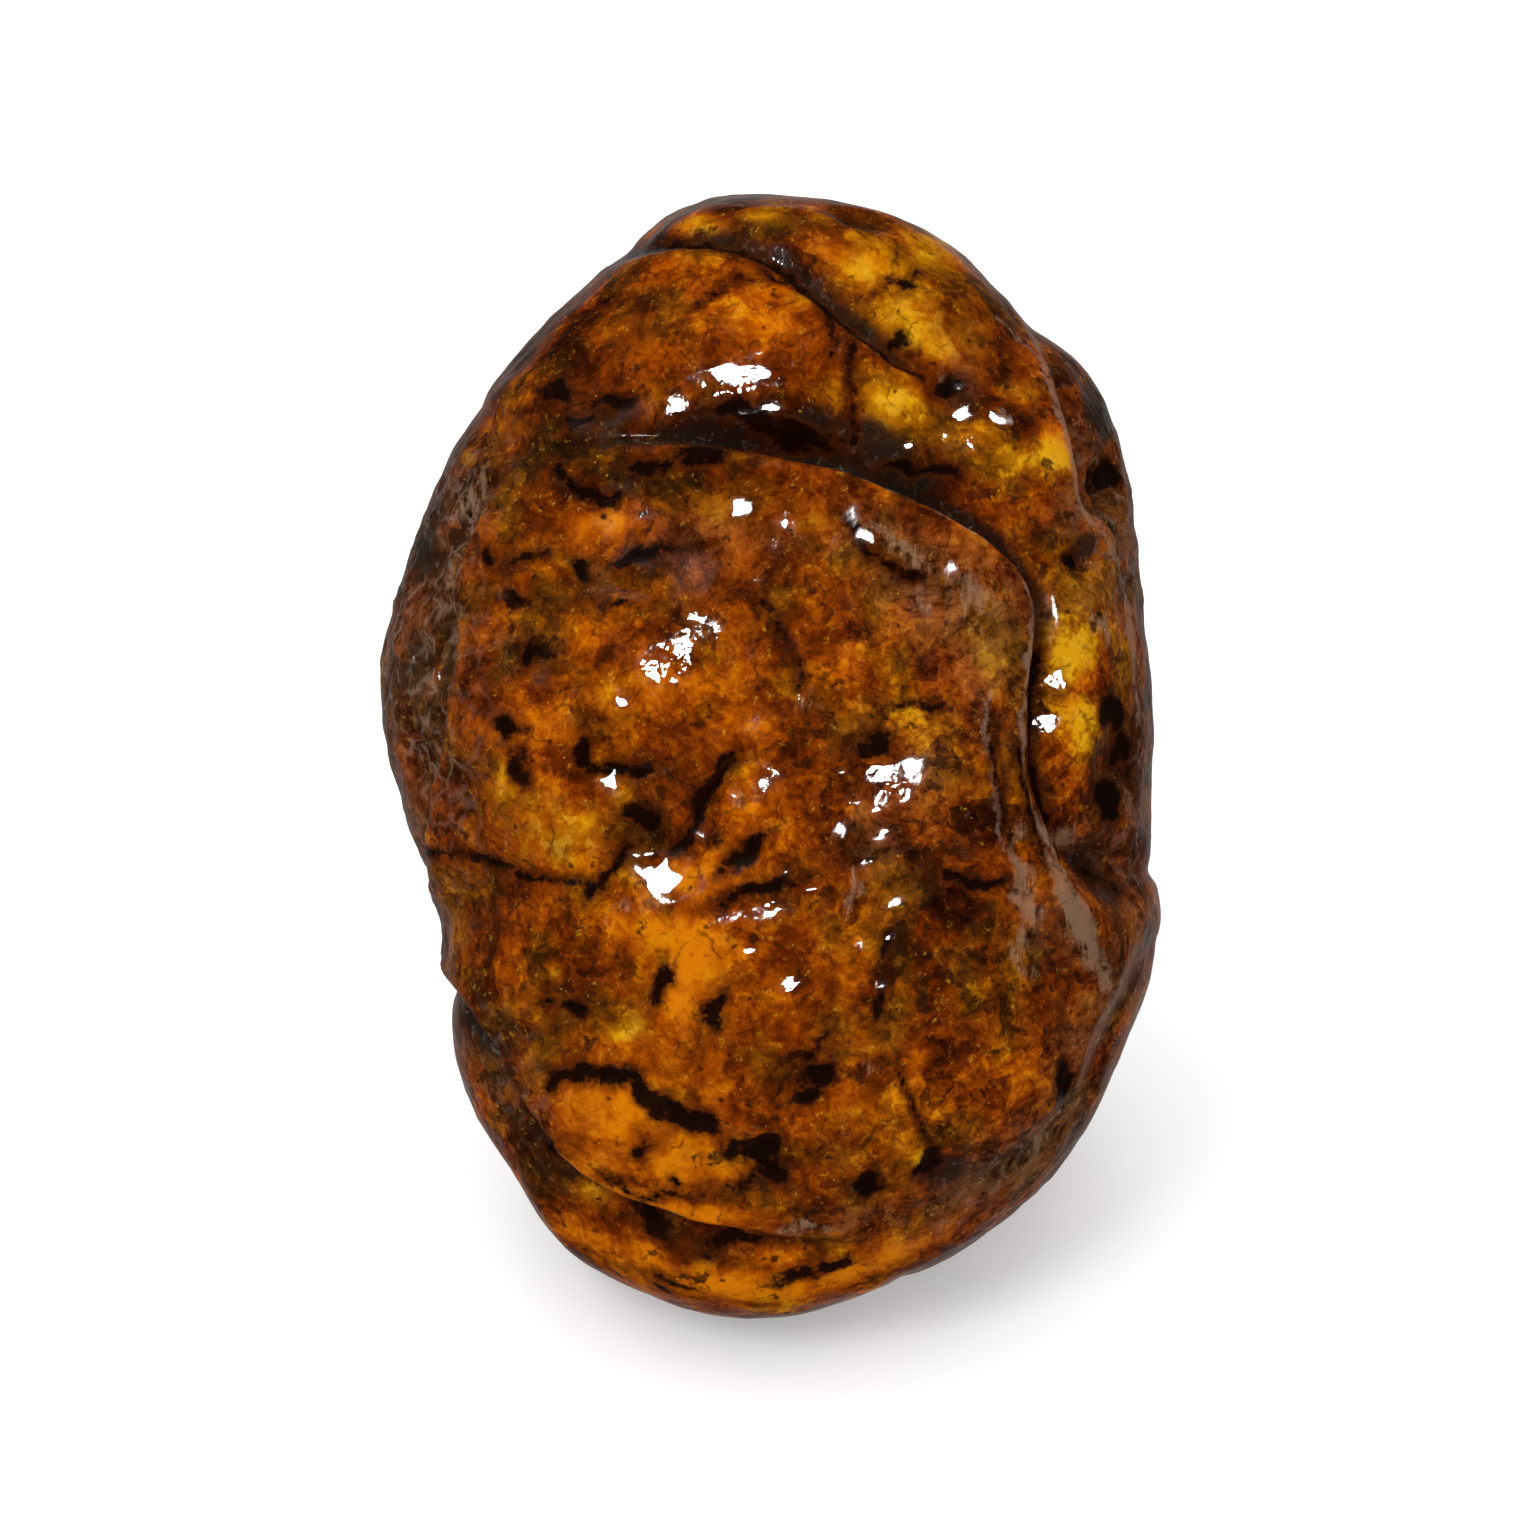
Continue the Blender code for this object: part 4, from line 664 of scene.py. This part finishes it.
def skin_mesh():
    """The lump's surface with its fine relief, and the colour fields that the material reads."""
    ball = bmesh.new()
    bmesh.ops.create_cube(ball, size=2.0)
    directions = box_directions(ball)
    mesh = bpy.data.meshes.new("amber_skin")
    ball.to_mesh(mesh)
    ball.free()

    def normals_at(points):
        put_vertices(mesh, points)
        return normals_of(mesh)

    points = relieved_form(directions, normals_at)
    plain = plain_form(directions)
    u, v = plain[:, 0], plain[:, 1]
    face_share = smooth(-0.35, 0.05, directions[:, 2])
    rind = patch_share(u, v, RIND_PATCHES) * face_share
    patchy = np.array([noise.noise(Vector(place)) for place in points / 14.0 + 50.0])
    rind = np.clip(rind + (1.0 - face_share) * smooth(-0.1, 0.35, patchy), 0.0, 1.0)
    fine = skin_height(points, rind)
    for route in THIN_CRACKS:
        fine += fold_height(u, v, route=route, **THIN_CRACK) * face_share
    points = points + normals_at(points) * fine[:, None]
    points = with_facets(points, smooth(0.2, 0.5, directions[:, 2]))
    put_vertices(mesh, points)
    ragged_u, ragged_v = shaken(points, 1.4, 0.45)
    wet = np.max([facet_share(ragged_u, ragged_v, facet) for facet in FACETS], axis=0) * face_share

    hidden = -MARK_REACH * (1.0 - face_share)
    loose_u, loose_v = shaken(plain, 1.6, 0.9)
    tight_u, tight_v = shaken(plain, 1.1, 0.35)
    marks = np.maximum(mark_field(loose_u, loose_v, DARK_MARKS, []), mark_field(tight_u, tight_v, [], DARK_LINES))
    put_field(mesh, "marks", marks * face_share + hidden)
    # Lines along the lips and edges, which the material paints pale as a painted reflection.
    put_field(mesh, "ridges", mark_field(tight_u, tight_v, [], EDGE_SHEEN_LINES) * face_share + hidden)
    put_field(mesh, "dry", np.maximum(0.0, patch_share(u, v, DRY) * face_share - 2.0 * wet))
    put_field(mesh, "honey", patch_share(u, v, HONEY) * face_share)
    put_field(mesh, "orange", patch_share(u, v, ORANGE) * face_share)
    put_field(mesh, "crust", patch_share(u, v, DULL) * face_share)
    put_field(mesh, "pale", patch_share(loose_u, loose_v, PALE) * face_share)
    put_field(mesh, "shade", patch_share(u, v, SHADE) * face_share)
    put_field(mesh, "grit", patch_share(u, v, GRITTY) * face_share)
    put_field(mesh, "valley_shade", patch_share(u, v, VALLEY_SHADE) * face_share)
    put_field(mesh, "pimpled", patch_share(u, v, PIMPLED) * face_share + 0.25 * (1.0 - face_share))
    put_field(mesh, "wet", wet)
    put_field(mesh, "rind", rind)
    # Nearness to each fold's groove, front and back, which the material paints near-black as painted shade.
    folds = fold_depth(u, v, FACE_FOLDS, 0.9) * face_share
    folds = np.maximum(folds, fold_depth(u, v, BACK_FOLDS) * (1.0 - face_share))
    put_field(mesh, "folds", folds)
    put_field(mesh, "back", 1.0 - face_share)
    # How deep each place lies in a hollow, which the material paints darker as painted shade.
    hollow = (hollowness(mesh, points) * normals_of(mesh)).sum(axis=1)
    put_field(mesh, "hollow", hollow)
    put_vertices(mesh, stood_up(points) * MM)
    mesh.shade_smooth()
    return mesh


# ---- Node trees -------------------------------------------------------------------------------------------------
MIX_COLOUR_A, MIX_COLOUR_B, MIX_COLOUR_RESULT = 6, 7, 2   # a Mix node's colour sockets share their names


class Weave:
    """A node tree with short names for the nodes that are used here."""

    def __init__(self, owner):
        self.nodes = owner.node_tree.nodes
        self.links = owner.node_tree.links

    def put(self, socket, value):
        """Links a socket to another, or sets its plain value."""
        if isinstance(value, bpy.types.NodeSocket):
            self.links.new(value, socket)
        elif socket.type == "RGBA":
            socket.default_value = (*value, 1.0)
        else:
            socket.default_value = value

    def maths(self, operation, first, second=0.0, third=0.0, clamp=False):
        node = self.nodes.new("ShaderNodeMath")
        node.operation = operation
        node.use_clamp = clamp
        for socket, value in zip(node.inputs, (first, second, third)):
            self.put(socket, value)
        return node.outputs[0]

    def add(self, *values):
        total = values[0]
        for value in values[1:]:
            total = self.maths("ADD", total, value)
        return total

    def times(self, first, second, clamp=False):
        return self.maths("MULTIPLY", first, second, clamp=clamp)

    def about_zero(self, value, reach):
        """A noise value from 0 to 1 as one from -reach to reach."""
        return self.maths("MULTIPLY_ADD", value, 2.0 * reach, -reach)

    def vector(self, operation, first, second=None, scale=1.0):
        node = self.nodes.new("ShaderNodeVectorMath")
        node.operation = operation
        self.put(node.inputs[0], first)
        if second is not None:
            self.put(node.inputs[1], second)
        if operation == "SCALE":
            node.inputs["Scale"].default_value = scale
        return node.outputs["Value" if operation == "DOT_PRODUCT" else "Vector"]

    def field(self, name):
        node = self.nodes.new("ShaderNodeAttribute")
        node.attribute_name = name
        return node.outputs["Fac"]

    def noise(self, place, wavelength, detail=4.0, roughness=0.55, distortion=0.0, output="Fac"):
        node = self.nodes.new("ShaderNodeTexNoise")
        self.put(node.inputs["Vector"], place)
        node.inputs["Scale"].default_value = 1.0 / wavelength
        node.inputs["Detail"].default_value = detail
        node.inputs["Roughness"].default_value = roughness
        node.inputs["Distortion"].default_value = distortion
        return node.outputs[output]

    def cells(self, place, wavelength, feature="F1"):
        node = self.nodes.new("ShaderNodeTexVoronoi")
        node.feature = feature
        self.put(node.inputs["Vector"], place)
        node.inputs["Scale"].default_value = 1.0 / wavelength
        return node.outputs

    def bent(self, place, wavelength, reach, detail=1.0):
        """The place, pushed about by up to reach, to give shapes that lean on it a natural edge."""
        push = self.vector("SUBTRACT", self.noise(place, wavelength, detail, output="Color"), (0.5, 0.5, 0.5))
        return self.vector("ADD", place, self.vector("SCALE", push, scale=2.0 * reach))

    def step(self, value, low, high, to_low=0.0, to_high=1.0):
        node = self.nodes.new("ShaderNodeMapRange")
        node.interpolation_type = "SMOOTHSTEP"
        self.put(node.inputs["Value"], value)
        for name, number in (("From Min", low), ("From Max", high), ("To Min", to_low), ("To Max", to_high)):
            node.inputs[name].default_value = number
        return node.outputs["Result"]

    def mix(self, share, first, second, blend="MIX"):
        node = self.nodes.new("ShaderNodeMix")
        node.data_type = "RGBA"
        node.blend_type = blend
        node.clamp_factor = True
        self.put(node.inputs[0], share)
        self.put(node.inputs[MIX_COLOUR_A], first)
        self.put(node.inputs[MIX_COLOUR_B], second)
        return node.outputs[MIX_COLOUR_RESULT]

    def ramp(self, value, stops):
        node = self.nodes.new("ShaderNodeValToRGB")
        self.put(node.inputs["Fac"], value)
        elements = node.color_ramp.elements
        while len(elements) < len(stops):
            elements.new(0.5)
        for element, (place, colour) in zip(elements, stops):
            element.position = place
            element.color = (*colour, 1.0)
        return node.outputs["Color"]

    def bump(self, height, depth, normal=None):
        node = self.nodes.new("ShaderNodeBump")
        self.put(node.inputs["Height"], height)
        node.inputs["Distance"].default_value = depth * MM
        if normal is not None:
            self.put(node.inputs["Normal"], normal)
        return node.outputs["Normal"]


# ---- Amber ------------------------------------------------------------------------------------------------------
RED_TONES = [
    (0.00, (0.009, 0.0018, 0.0004)), (0.25, (0.045, 0.0072, 0.0004)), (0.45, (0.124, 0.0190, 0.0004)),
    (0.62, (0.255, 0.0440, 0.0005)), (0.80, (0.440, 0.0950, 0.0008)), (1.00, (0.700, 0.2050, 0.0015)),
]
GOLD_TONES = [
    (0.00, (0.010, 0.0050, 0.0016)), (0.25, (0.042, 0.0155, 0.0018)), (0.45, (0.122, 0.0400, 0.0018)),
    (0.62, (0.245, 0.0760, 0.0014)), (0.80, (0.430, 0.1560, 0.0016)), (1.00, (0.760, 0.3800, 0.0050)),
]
WHITE = (1.0, 1.0, 1.0)
BLACK = (0.0, 0.0, 0.0)
BLACK_MARK = (0.003, 0.0016, 0.0010)
STAIN = (0.060, 0.0120, 0.0015)
BLOT = (0.026, 0.0080, 0.0020)
SPECK = (0.045, 0.0090, 0.0015)
# Painted shade for the fold grooves and valleys, and the lighter olive-grey scum streaked through it.
FOLD_SHADE = (0.012, 0.0105, 0.0075)
FOLD_SCUM = (0.110, 0.0980, 0.0760)
CRUST = (0.170, 0.0800, 0.0320)
# Pale scabs, and at the right, the lower right rim and the left flank a painted reflection.
SCAB_AND_SHEEN = (0.330, 0.1900, 0.1050)
# Painted sheen on the rind's ridges and on the lines along the edges.
RIDGE_SHEEN = (0.300, 0.1900, 0.1350)
# Painted glints of golden grains, curls and flakes.
GLINT = (0.850, 0.4800, 0.0300)
DEPTH_TINT = (0.86, 0.45, 0.02)     # what a unit of depth lets through
DEPTH_DENSITY = 160.0               # per metre


def amber_tones(weave, place, flowing):
    """Clouds, flakes and streaks of amber, from red to gold in hue and from black-brown to bright in tone."""
    broad = weave.noise(flowing, 8.0, 2.0)
    cloud = weave.noise(flowing, 2.6, 5.0, 0.60, 0.35)
    grain = weave.noise(flowing, 0.6, 3.0, 0.75)
    ragged = weave.bent(place, 0.9, 0.45)
    flakes = weave.noise(weave.cells(ragged, 2.4)["Position"], 0.3, 0.0)
    crumbs = weave.noise(weave.cells(ragged, 0.9)["Position"], 0.2, 0.0)
    clear = weave.maths("MAXIMUM", weave.field("honey"), weave.field("orange"))
    rough = weave.add(weave.step(clear, 0.0, 0.8, 1.0, 0.55), weave.times(weave.field("grit"), 0.70))
    speckle = weave.add(
        weave.about_zero(grain, 0.40), weave.about_zero(flakes, 0.22), weave.about_zero(crumbs, 0.19),
    )
    broad_share = weave.add(0.20, weave.times(weave.field("back"), 0.30))
    # The shade field darkens the tone: painted shade along the crown's fold, in the valley over the bulge and the
    # groove over the foot's left end, and darker amber elsewhere.
    tone = weave.add(
        0.47, weave.times(weave.about_zero(broad, 1.0), broad_share), weave.about_zero(cloud, 0.60),
        weave.times(speckle, rough), weave.times(clear, 0.46), weave.times(weave.field("shade"), -0.34),
    )
    # Painted shade: darker in the skin's hollows and a little lighter on its crests.
    tone = weave.add(tone, weave.times(weave.field("hollow"), -0.30), weave.times(weave.field("rind"), -0.15))
    hue = weave.noise(weave.vector("ADD", flowing, (31.0, 7.0, 3.0)), 4.0, 4.0)
    hue = weave.add(hue, weave.times(weave.field("honey"), 0.24), weave.times(weave.field("orange"), -0.14))
    gold = weave.step(hue, 0.42, 0.70)
    return weave.mix(gold, weave.ramp(tone, RED_TONES), weave.ramp(tone, GOLD_TONES)), cloud, grain


def with_glints(weave, colour, place):
    """Painted glints: fine golden grains and short curls, and a few larger flakes in the clearest places."""
    curls = weave.noise(weave.vector("ADD", place, (5.0, 11.0, 2.0)), 0.50, 2.0, 0.5, 0.6)
    thin = weave.step(weave.maths("ABSOLUTE", weave.maths("SUBTRACT", curls, 0.5)), 0.035, 0.0)
    here = weave.step(weave.noise(place, 0.6, 2.0), 0.58, 0.68)
    colour = weave.mix(weave.times(weave.times(thin, here), 0.45), colour, GLINT)
    grains = weave.cells(weave.bent(place, 0.5, 0.08), 0.42)
    size = weave.step(weave.noise(place, 1.3, 2.0), 0.54, 0.76, -0.08, 0.26)
    grain = weave.step(weave.maths("SUBTRACT", grains["Distance"], size), 0.04, -0.04)
    colour = weave.mix(weave.times(grain, 0.40), colour, GLINT)
    flake = weave.noise(weave.cells(weave.bent(place, 0.5, 0.35), 0.7)["Position"], 0.15, 0.0)
    share = weave.times(weave.step(flake, 0.54, 0.62), weave.step(weave.field("honey"), 0.45, 0.85))
    return weave.mix(weave.times(share, 0.32), colour, GLINT)


def with_crust(weave, colour, place, grain, cloud):
    """Dull grey-brown crust, thickest on the rind, and fibrous pale scabs, some of them a painted reflection. The
    rind's net of ridges and the lines along the edges are painted pale, as the sheen of the white surroundings.
    """
    share = weave.add(weave.field("crust"), weave.times(weave.field("rind"), 0.5))
    broken = weave.step(weave.add(weave.times(grain, 0.5), weave.times(cloud, 0.5)), 0.40, 0.58)
    share = weave.times(share, broken, clamp=True)
    fibres = weave.noise(weave.vector("MULTIPLY", place, (2.6, 0.5, 0.5)), 1.0, 3.0, 0.6, 0.4)
    # Pale scabs; those at the right of the bulge, the lower right rim and the left flank are a painted reflection.
    scab_and_sheen = weave.add(weave.field("pale"), weave.about_zero(fibres, 0.60), weave.about_zero(grain, 0.30))
    scab_and_sheen = weave.step(scab_and_sheen, 0.30, 0.75)
    colour = weave.mix(weave.times(share, 0.65), colour, CRUST)
    colour = weave.mix(weave.times(scab_and_sheen, 0.62), colour, SCAB_AND_SHEEN)
    # Painted sheen: the rind's net of ridges and the lines along the edges turn pale grey-pink.
    net = weave.cells(weave.bent(place, 1.5, 0.7, 2.0), 1.8, "DISTANCE_TO_EDGE")["Distance"]
    net = weave.times(weave.step(net, 0.16, 0.0), weave.field("rind"))
    sheen_patches = weave.step(weave.noise(place, 1.1, 3.0), 0.40, 0.62)
    colour = weave.mix(weave.times(weave.times(net, sheen_patches), 0.60), colour, RIDGE_SHEEN)
    edge = weave.add(weave.field("ridges"), weave.about_zero(grain, 0.30))
    colour = weave.mix(weave.times(weave.step(edge, -0.12, 0.14), 0.55), colour, RIDGE_SHEEN)
    return colour, weave.maths("MAXIMUM", share, scab_and_sheen)


def with_marks(weave, colour, place, cloud):
    """Painted shade in the fold grooves and the listed valleys, near-black with olive-grey scum streaks; dark marks
    that a red-brown stain surrounds, and small specks.
    """
    # Painted shade: the fold grooves and the listed valleys turn near-black, streaked with lighter olive-grey scum.
    scum = weave.noise(weave.bent(place, 0.9, 0.5), 0.9, 3.0, 0.65)
    groove_shade_and_scum = weave.mix(weave.step(scum, 0.55, 0.72), FOLD_SHADE, FOLD_SCUM)
    valley_shade = weave.step(weave.add(weave.field("valley_shade"), weave.about_zero(cloud, 0.9)), 0.25, 0.80)
    fold_shade = weave.step(weave.add(weave.field("folds"), weave.about_zero(cloud, 0.4)), 0.50, 0.95)
    colour = weave.mix(weave.times(weave.maths("MAXIMUM", valley_shade, fold_shade), 0.90), colour, groove_shade_and_scum)
    ragged = weave.add(
        weave.field("marks"), weave.about_zero(weave.noise(place, 0.8, 2.0), 0.40),
        weave.about_zero(weave.noise(place, 0.3, 2.0, 0.65), 0.30),
    )
    blots = weave.add(weave.noise(place, 1.7, 4.0, 0.60), weave.times(weave.field("shade"), 0.09))
    colour = weave.mix(weave.times(weave.step(blots, 0.62, 0.70), 0.85), colour, BLOT)
    web = weave.cells(weave.bent(place, 1.5, 1.0, 2.0), 3.0, "DISTANCE_TO_EDGE")["Distance"]
    broken = weave.step(weave.noise(place, 1.4, 3.0), 0.48, 0.60)
    colour = weave.mix(weave.times(weave.times(weave.step(web, 0.055, 0.0), broken), 0.60), colour, BLOT)
    # Dark marks and lines; those along the crown's fold, the fold over the bulge and the gap left of the right strip
    # are painted shade.
    colour = weave.mix(weave.times(weave.step(ragged, -0.55, 0.05), 0.75), colour, STAIN)
    colour = weave.mix(weave.times(weave.step(ragged, -0.14, 0.16), 0.95), colour, BLACK_MARK)
    for wavelength, size, share in ((1.5, 0.12, 0.85), (2.9, 0.13, 0.9)):
        cells = weave.cells(weave.bent(place, 0.5, 0.22), wavelength)
        where = weave.step(weave.noise(place, 4.0, 2.0), 0.38, 0.62, -0.05, size)
        speck = weave.step(weave.maths("SUBTRACT", cells["Distance"], where), 0.05, -0.05)
        colour = weave.mix(weave.times(speck, share), colour, SPECK)
    return colour


def with_bumps(weave, place, flowing):
    """The normal: gentle waves, pimples, ripples where it isn't smooth, and the rind's bark."""
    waves = weave.bump(weave.noise(place, 1.3, 1.0), 0.030)
    calm = weave.maths("SUBTRACT", 1.0, weave.field("wet"), clamp=True)
    pimpled = weave.times(weave.field("pimpled"), weave.step(calm, 0.0, 1.0, 0.70, 1.0))
    pimples = weave.bump(weave.times(weave.noise(place, 0.7, 1.0), pimpled), 0.12, waves)
    ripples = weave.bump(weave.times(weave.noise(place, 0.36, 2.0), calm), 0.020, pimples)
    bark = weave.maths("ABSOLUTE", weave.about_zero(weave.noise(place, 1.1, 3.0), 1.0))
    return weave.bump(weave.times(bark, weave.field("rind")), 0.30, ripples)


def amber_material():
    material = bpy.data.materials.new("raw_amber")
    material.use_nodes = True
    weave = Weave(material)
    surface = weave.nodes["Principled BSDF"]
    coordinates = weave.nodes.new("ShaderNodeTexCoord").outputs["Object"]
    place = weave.vector("SCALE", coordinates, scale=1.0 / MM)
    flowing = weave.bent(place, 3.5, 1.0, 3.0)

    colour, cloud, grain = amber_tones(weave, place, flowing)
    colour = with_glints(weave, colour, place)
    colour, crust = with_crust(weave, colour, place, grain, cloud)
    colour = with_marks(weave, colour, place, cloud)
    weave.put(surface.inputs["Base Color"], colour)

    roughness = weave.step(weave.noise(flowing, 1.5, 2.0), 0.35, 0.70, 0.04, 0.12)
    facing = weave.nodes.new("ShaderNodeLayerWeight")
    rim = weave.step(facing.outputs["Facing"], 0.66, 0.94)
    dry = weave.maths("MAXIMUM", weave.field("dry"), weave.times(rim, 0.85))
    weave.put(surface.inputs["Roughness"], weave.add(roughness, weave.times(crust, 0.20), weave.times(dry, 0.04)))
    weave.put(surface.inputs["Specular IOR Level"], weave.maths("MULTIPLY_ADD", dry, -0.50, 0.5, clamp=True))
    weave.put(surface.inputs["Specular Tint"], weave.mix(dry, WHITE, BLACK))
    surface.inputs["IOR"].default_value = 1.54
    surface.inputs["Transmission Weight"].default_value = 0.35
    surface.inputs["Subsurface Weight"].default_value = 0.35
    surface.inputs["Subsurface Radius"].default_value = (1.0, 0.35, 0.08)
    surface.inputs["Subsurface Scale"].default_value = 1.0 * MM

    weave.put(surface.inputs["Normal"], with_bumps(weave, place, flowing))

    depth = weave.nodes.new("ShaderNodeVolumeAbsorption")
    weave.put(depth.inputs["Color"], DEPTH_TINT)
    depth.inputs["Density"].default_value = DEPTH_DENSITY
    weave.links.new(depth.outputs["Volume"], weave.nodes["Material Output"].inputs["Volume"])
    return material


# ---- Studio -----------------------------------------------------------------------------------------------------
VIEW_DISTANCE = 412.0   # from the camera to the middle of the face's outline
LENS = 150.0
PHOTO_SIDE = 1534.0     # the photograph's width and height in its own pixels
FACE_PIXEL = (770.0, 755.0)   # where the middle of the face's outline lies in it
FACE_MIDDLE = (0.13, 0.15)      # that middle's place along X and Y, in millimetres
FLOOR_SIZE = 3.0
FLOOR_GLOW = 0.30       # the paper is lit from below as well
TENT_LIGHT = 0.95       # the white tent's brightness on what isn't glossy
LOOK_AT = Vector((0.0, 0.0, FLOOR_DROP * MM))


def camera_side():
    """The direction from the lump to the camera: square to the face."""
    lean = math.radians(LEAN)
    return Vector((0.0, -math.cos(lean), math.sin(lean)))


def photo_camera():
    """A long lens, looking along the face's own normal."""
    data = bpy.data.cameras.new("photo_camera")
    data.lens = LENS
    data.sensor_width = 36.0
    data.shift_x = (PHOTO_SIDE / 2.0 - FACE_PIXEL[0]) / PHOTO_SIDE
    data.shift_y = (FACE_PIXEL[1] - PHOTO_SIDE / 2.0) / PHOTO_SIDE
    camera = bpy.data.objects.new("photo_camera", data)
    bpy.context.scene.collection.objects.link(camera)
    camera.location = Vector((*FACE_MIDDLE, FLOOR_DROP)) * MM + camera_side() * VIEW_DISTANCE * MM
    camera.rotation_mode = "QUATERNION"
    camera.rotation_quaternion = (-camera_side()).to_track_quat("-Z", "Y")
    bpy.context.scene.camera = camera
    return camera


def pale_floor():
    plane = bmesh.new()
    bmesh.ops.create_grid(plane, x_segments=1, y_segments=1, size=FLOOR_SIZE / 2.0)
    mesh = bpy.data.meshes.new("floor")
    plane.to_mesh(mesh)
    plane.free()
    floor = bpy.data.objects.new("floor", mesh)
    bpy.context.scene.collection.objects.link(floor)
    paper = bpy.data.materials.new("white_paper")
    paper.use_nodes = True
    surface = paper.node_tree.nodes["Principled BSDF"]
    surface.inputs["Base Color"].default_value = (0.70, 0.70, 0.70, 1.0)
    surface.inputs["Roughness"].default_value = 0.9
    surface.inputs["Specular IOR Level"].default_value = 0.1
    surface.inputs["Emission Color"].default_value = (1.0, 0.995, 0.99, 1.0)
    surface.inputs["Emission Strength"].default_value = FLOOR_GLOW
    mesh.materials.append(paper)
    floor.visible_glossy = False


def soft_light(name, place, size, power, mirrored=True, lights=True):
    """A round lamp that looks at the lump; it may be left out of gloss or be seen only in gloss."""
    data = bpy.data.lights.new(name, "AREA")
    data.shape = "DISK"
    data.size = size
    data.energy = power
    light = bpy.data.objects.new(name, data)
    light.location = place
    light.rotation_mode = "QUATERNION"
    light.rotation_quaternion = (Vector(place) - LOOK_AT).to_track_quat("Z", "Y")
    light.visible_glossy = mirrored
    light.visible_diffuse = lights
    light.visible_transmission = lights
    bpy.context.scene.collection.objects.link(light)


def white_room():
    """White behind the lump and dark in front of it, where the camera stands; plain white as a background."""
    world = bpy.data.worlds.new("white_room")
    bpy.context.scene.world = world
    world.use_nodes = True
    weave = Weave(world)
    direction = weave.nodes.new("ShaderNodeTexCoord").outputs["Generated"]
    towards_camera = weave.vector("DOT_PRODUCT", direction, tuple(camera_side()))
    mirrored = weave.step(towards_camera, -0.70, -1.0, 0.008, 0.20)
    ray = weave.nodes.new("ShaderNodeLightPath").outputs
    tent = weave.nodes.new("ShaderNodeMix")
    weave.put(tent.inputs[0], ray["Is Glossy Ray"])
    weave.put(tent.inputs[2], TENT_LIGHT)
    weave.put(tent.inputs[3], mirrored)
    background = weave.nodes["Background"]
    weave.put(background.inputs["Strength"], weave.maths("MAXIMUM", tent.outputs[0], ray["Is Camera Ray"]))
    weave.put(background.inputs["Color"], (1.0, 1.0, 1.0))


def studio():
    pale_floor()
    white_room()
    soft_light("overhead", (-0.12, 0.10, 0.75), 1.10, 4.0, mirrored=False)
    soft_light("window", (-0.20, -0.30, 0.40), 0.20, 0.9, mirrored=False)
    soft_light("key", (-0.035, -0.22, 0.43), 0.080, 1.5, lights=False)
    photo_camera()
    bpy.context.scene.view_settings.view_transform = "Standard"


def main():
    skin = bpy.data.objects.new("amber_skin", skin_mesh())
    bpy.context.scene.collection.objects.link(skin)
    skin.data.materials.append(amber_material())
    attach(skin, "root")
    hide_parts(NODE)
    studio()


main()
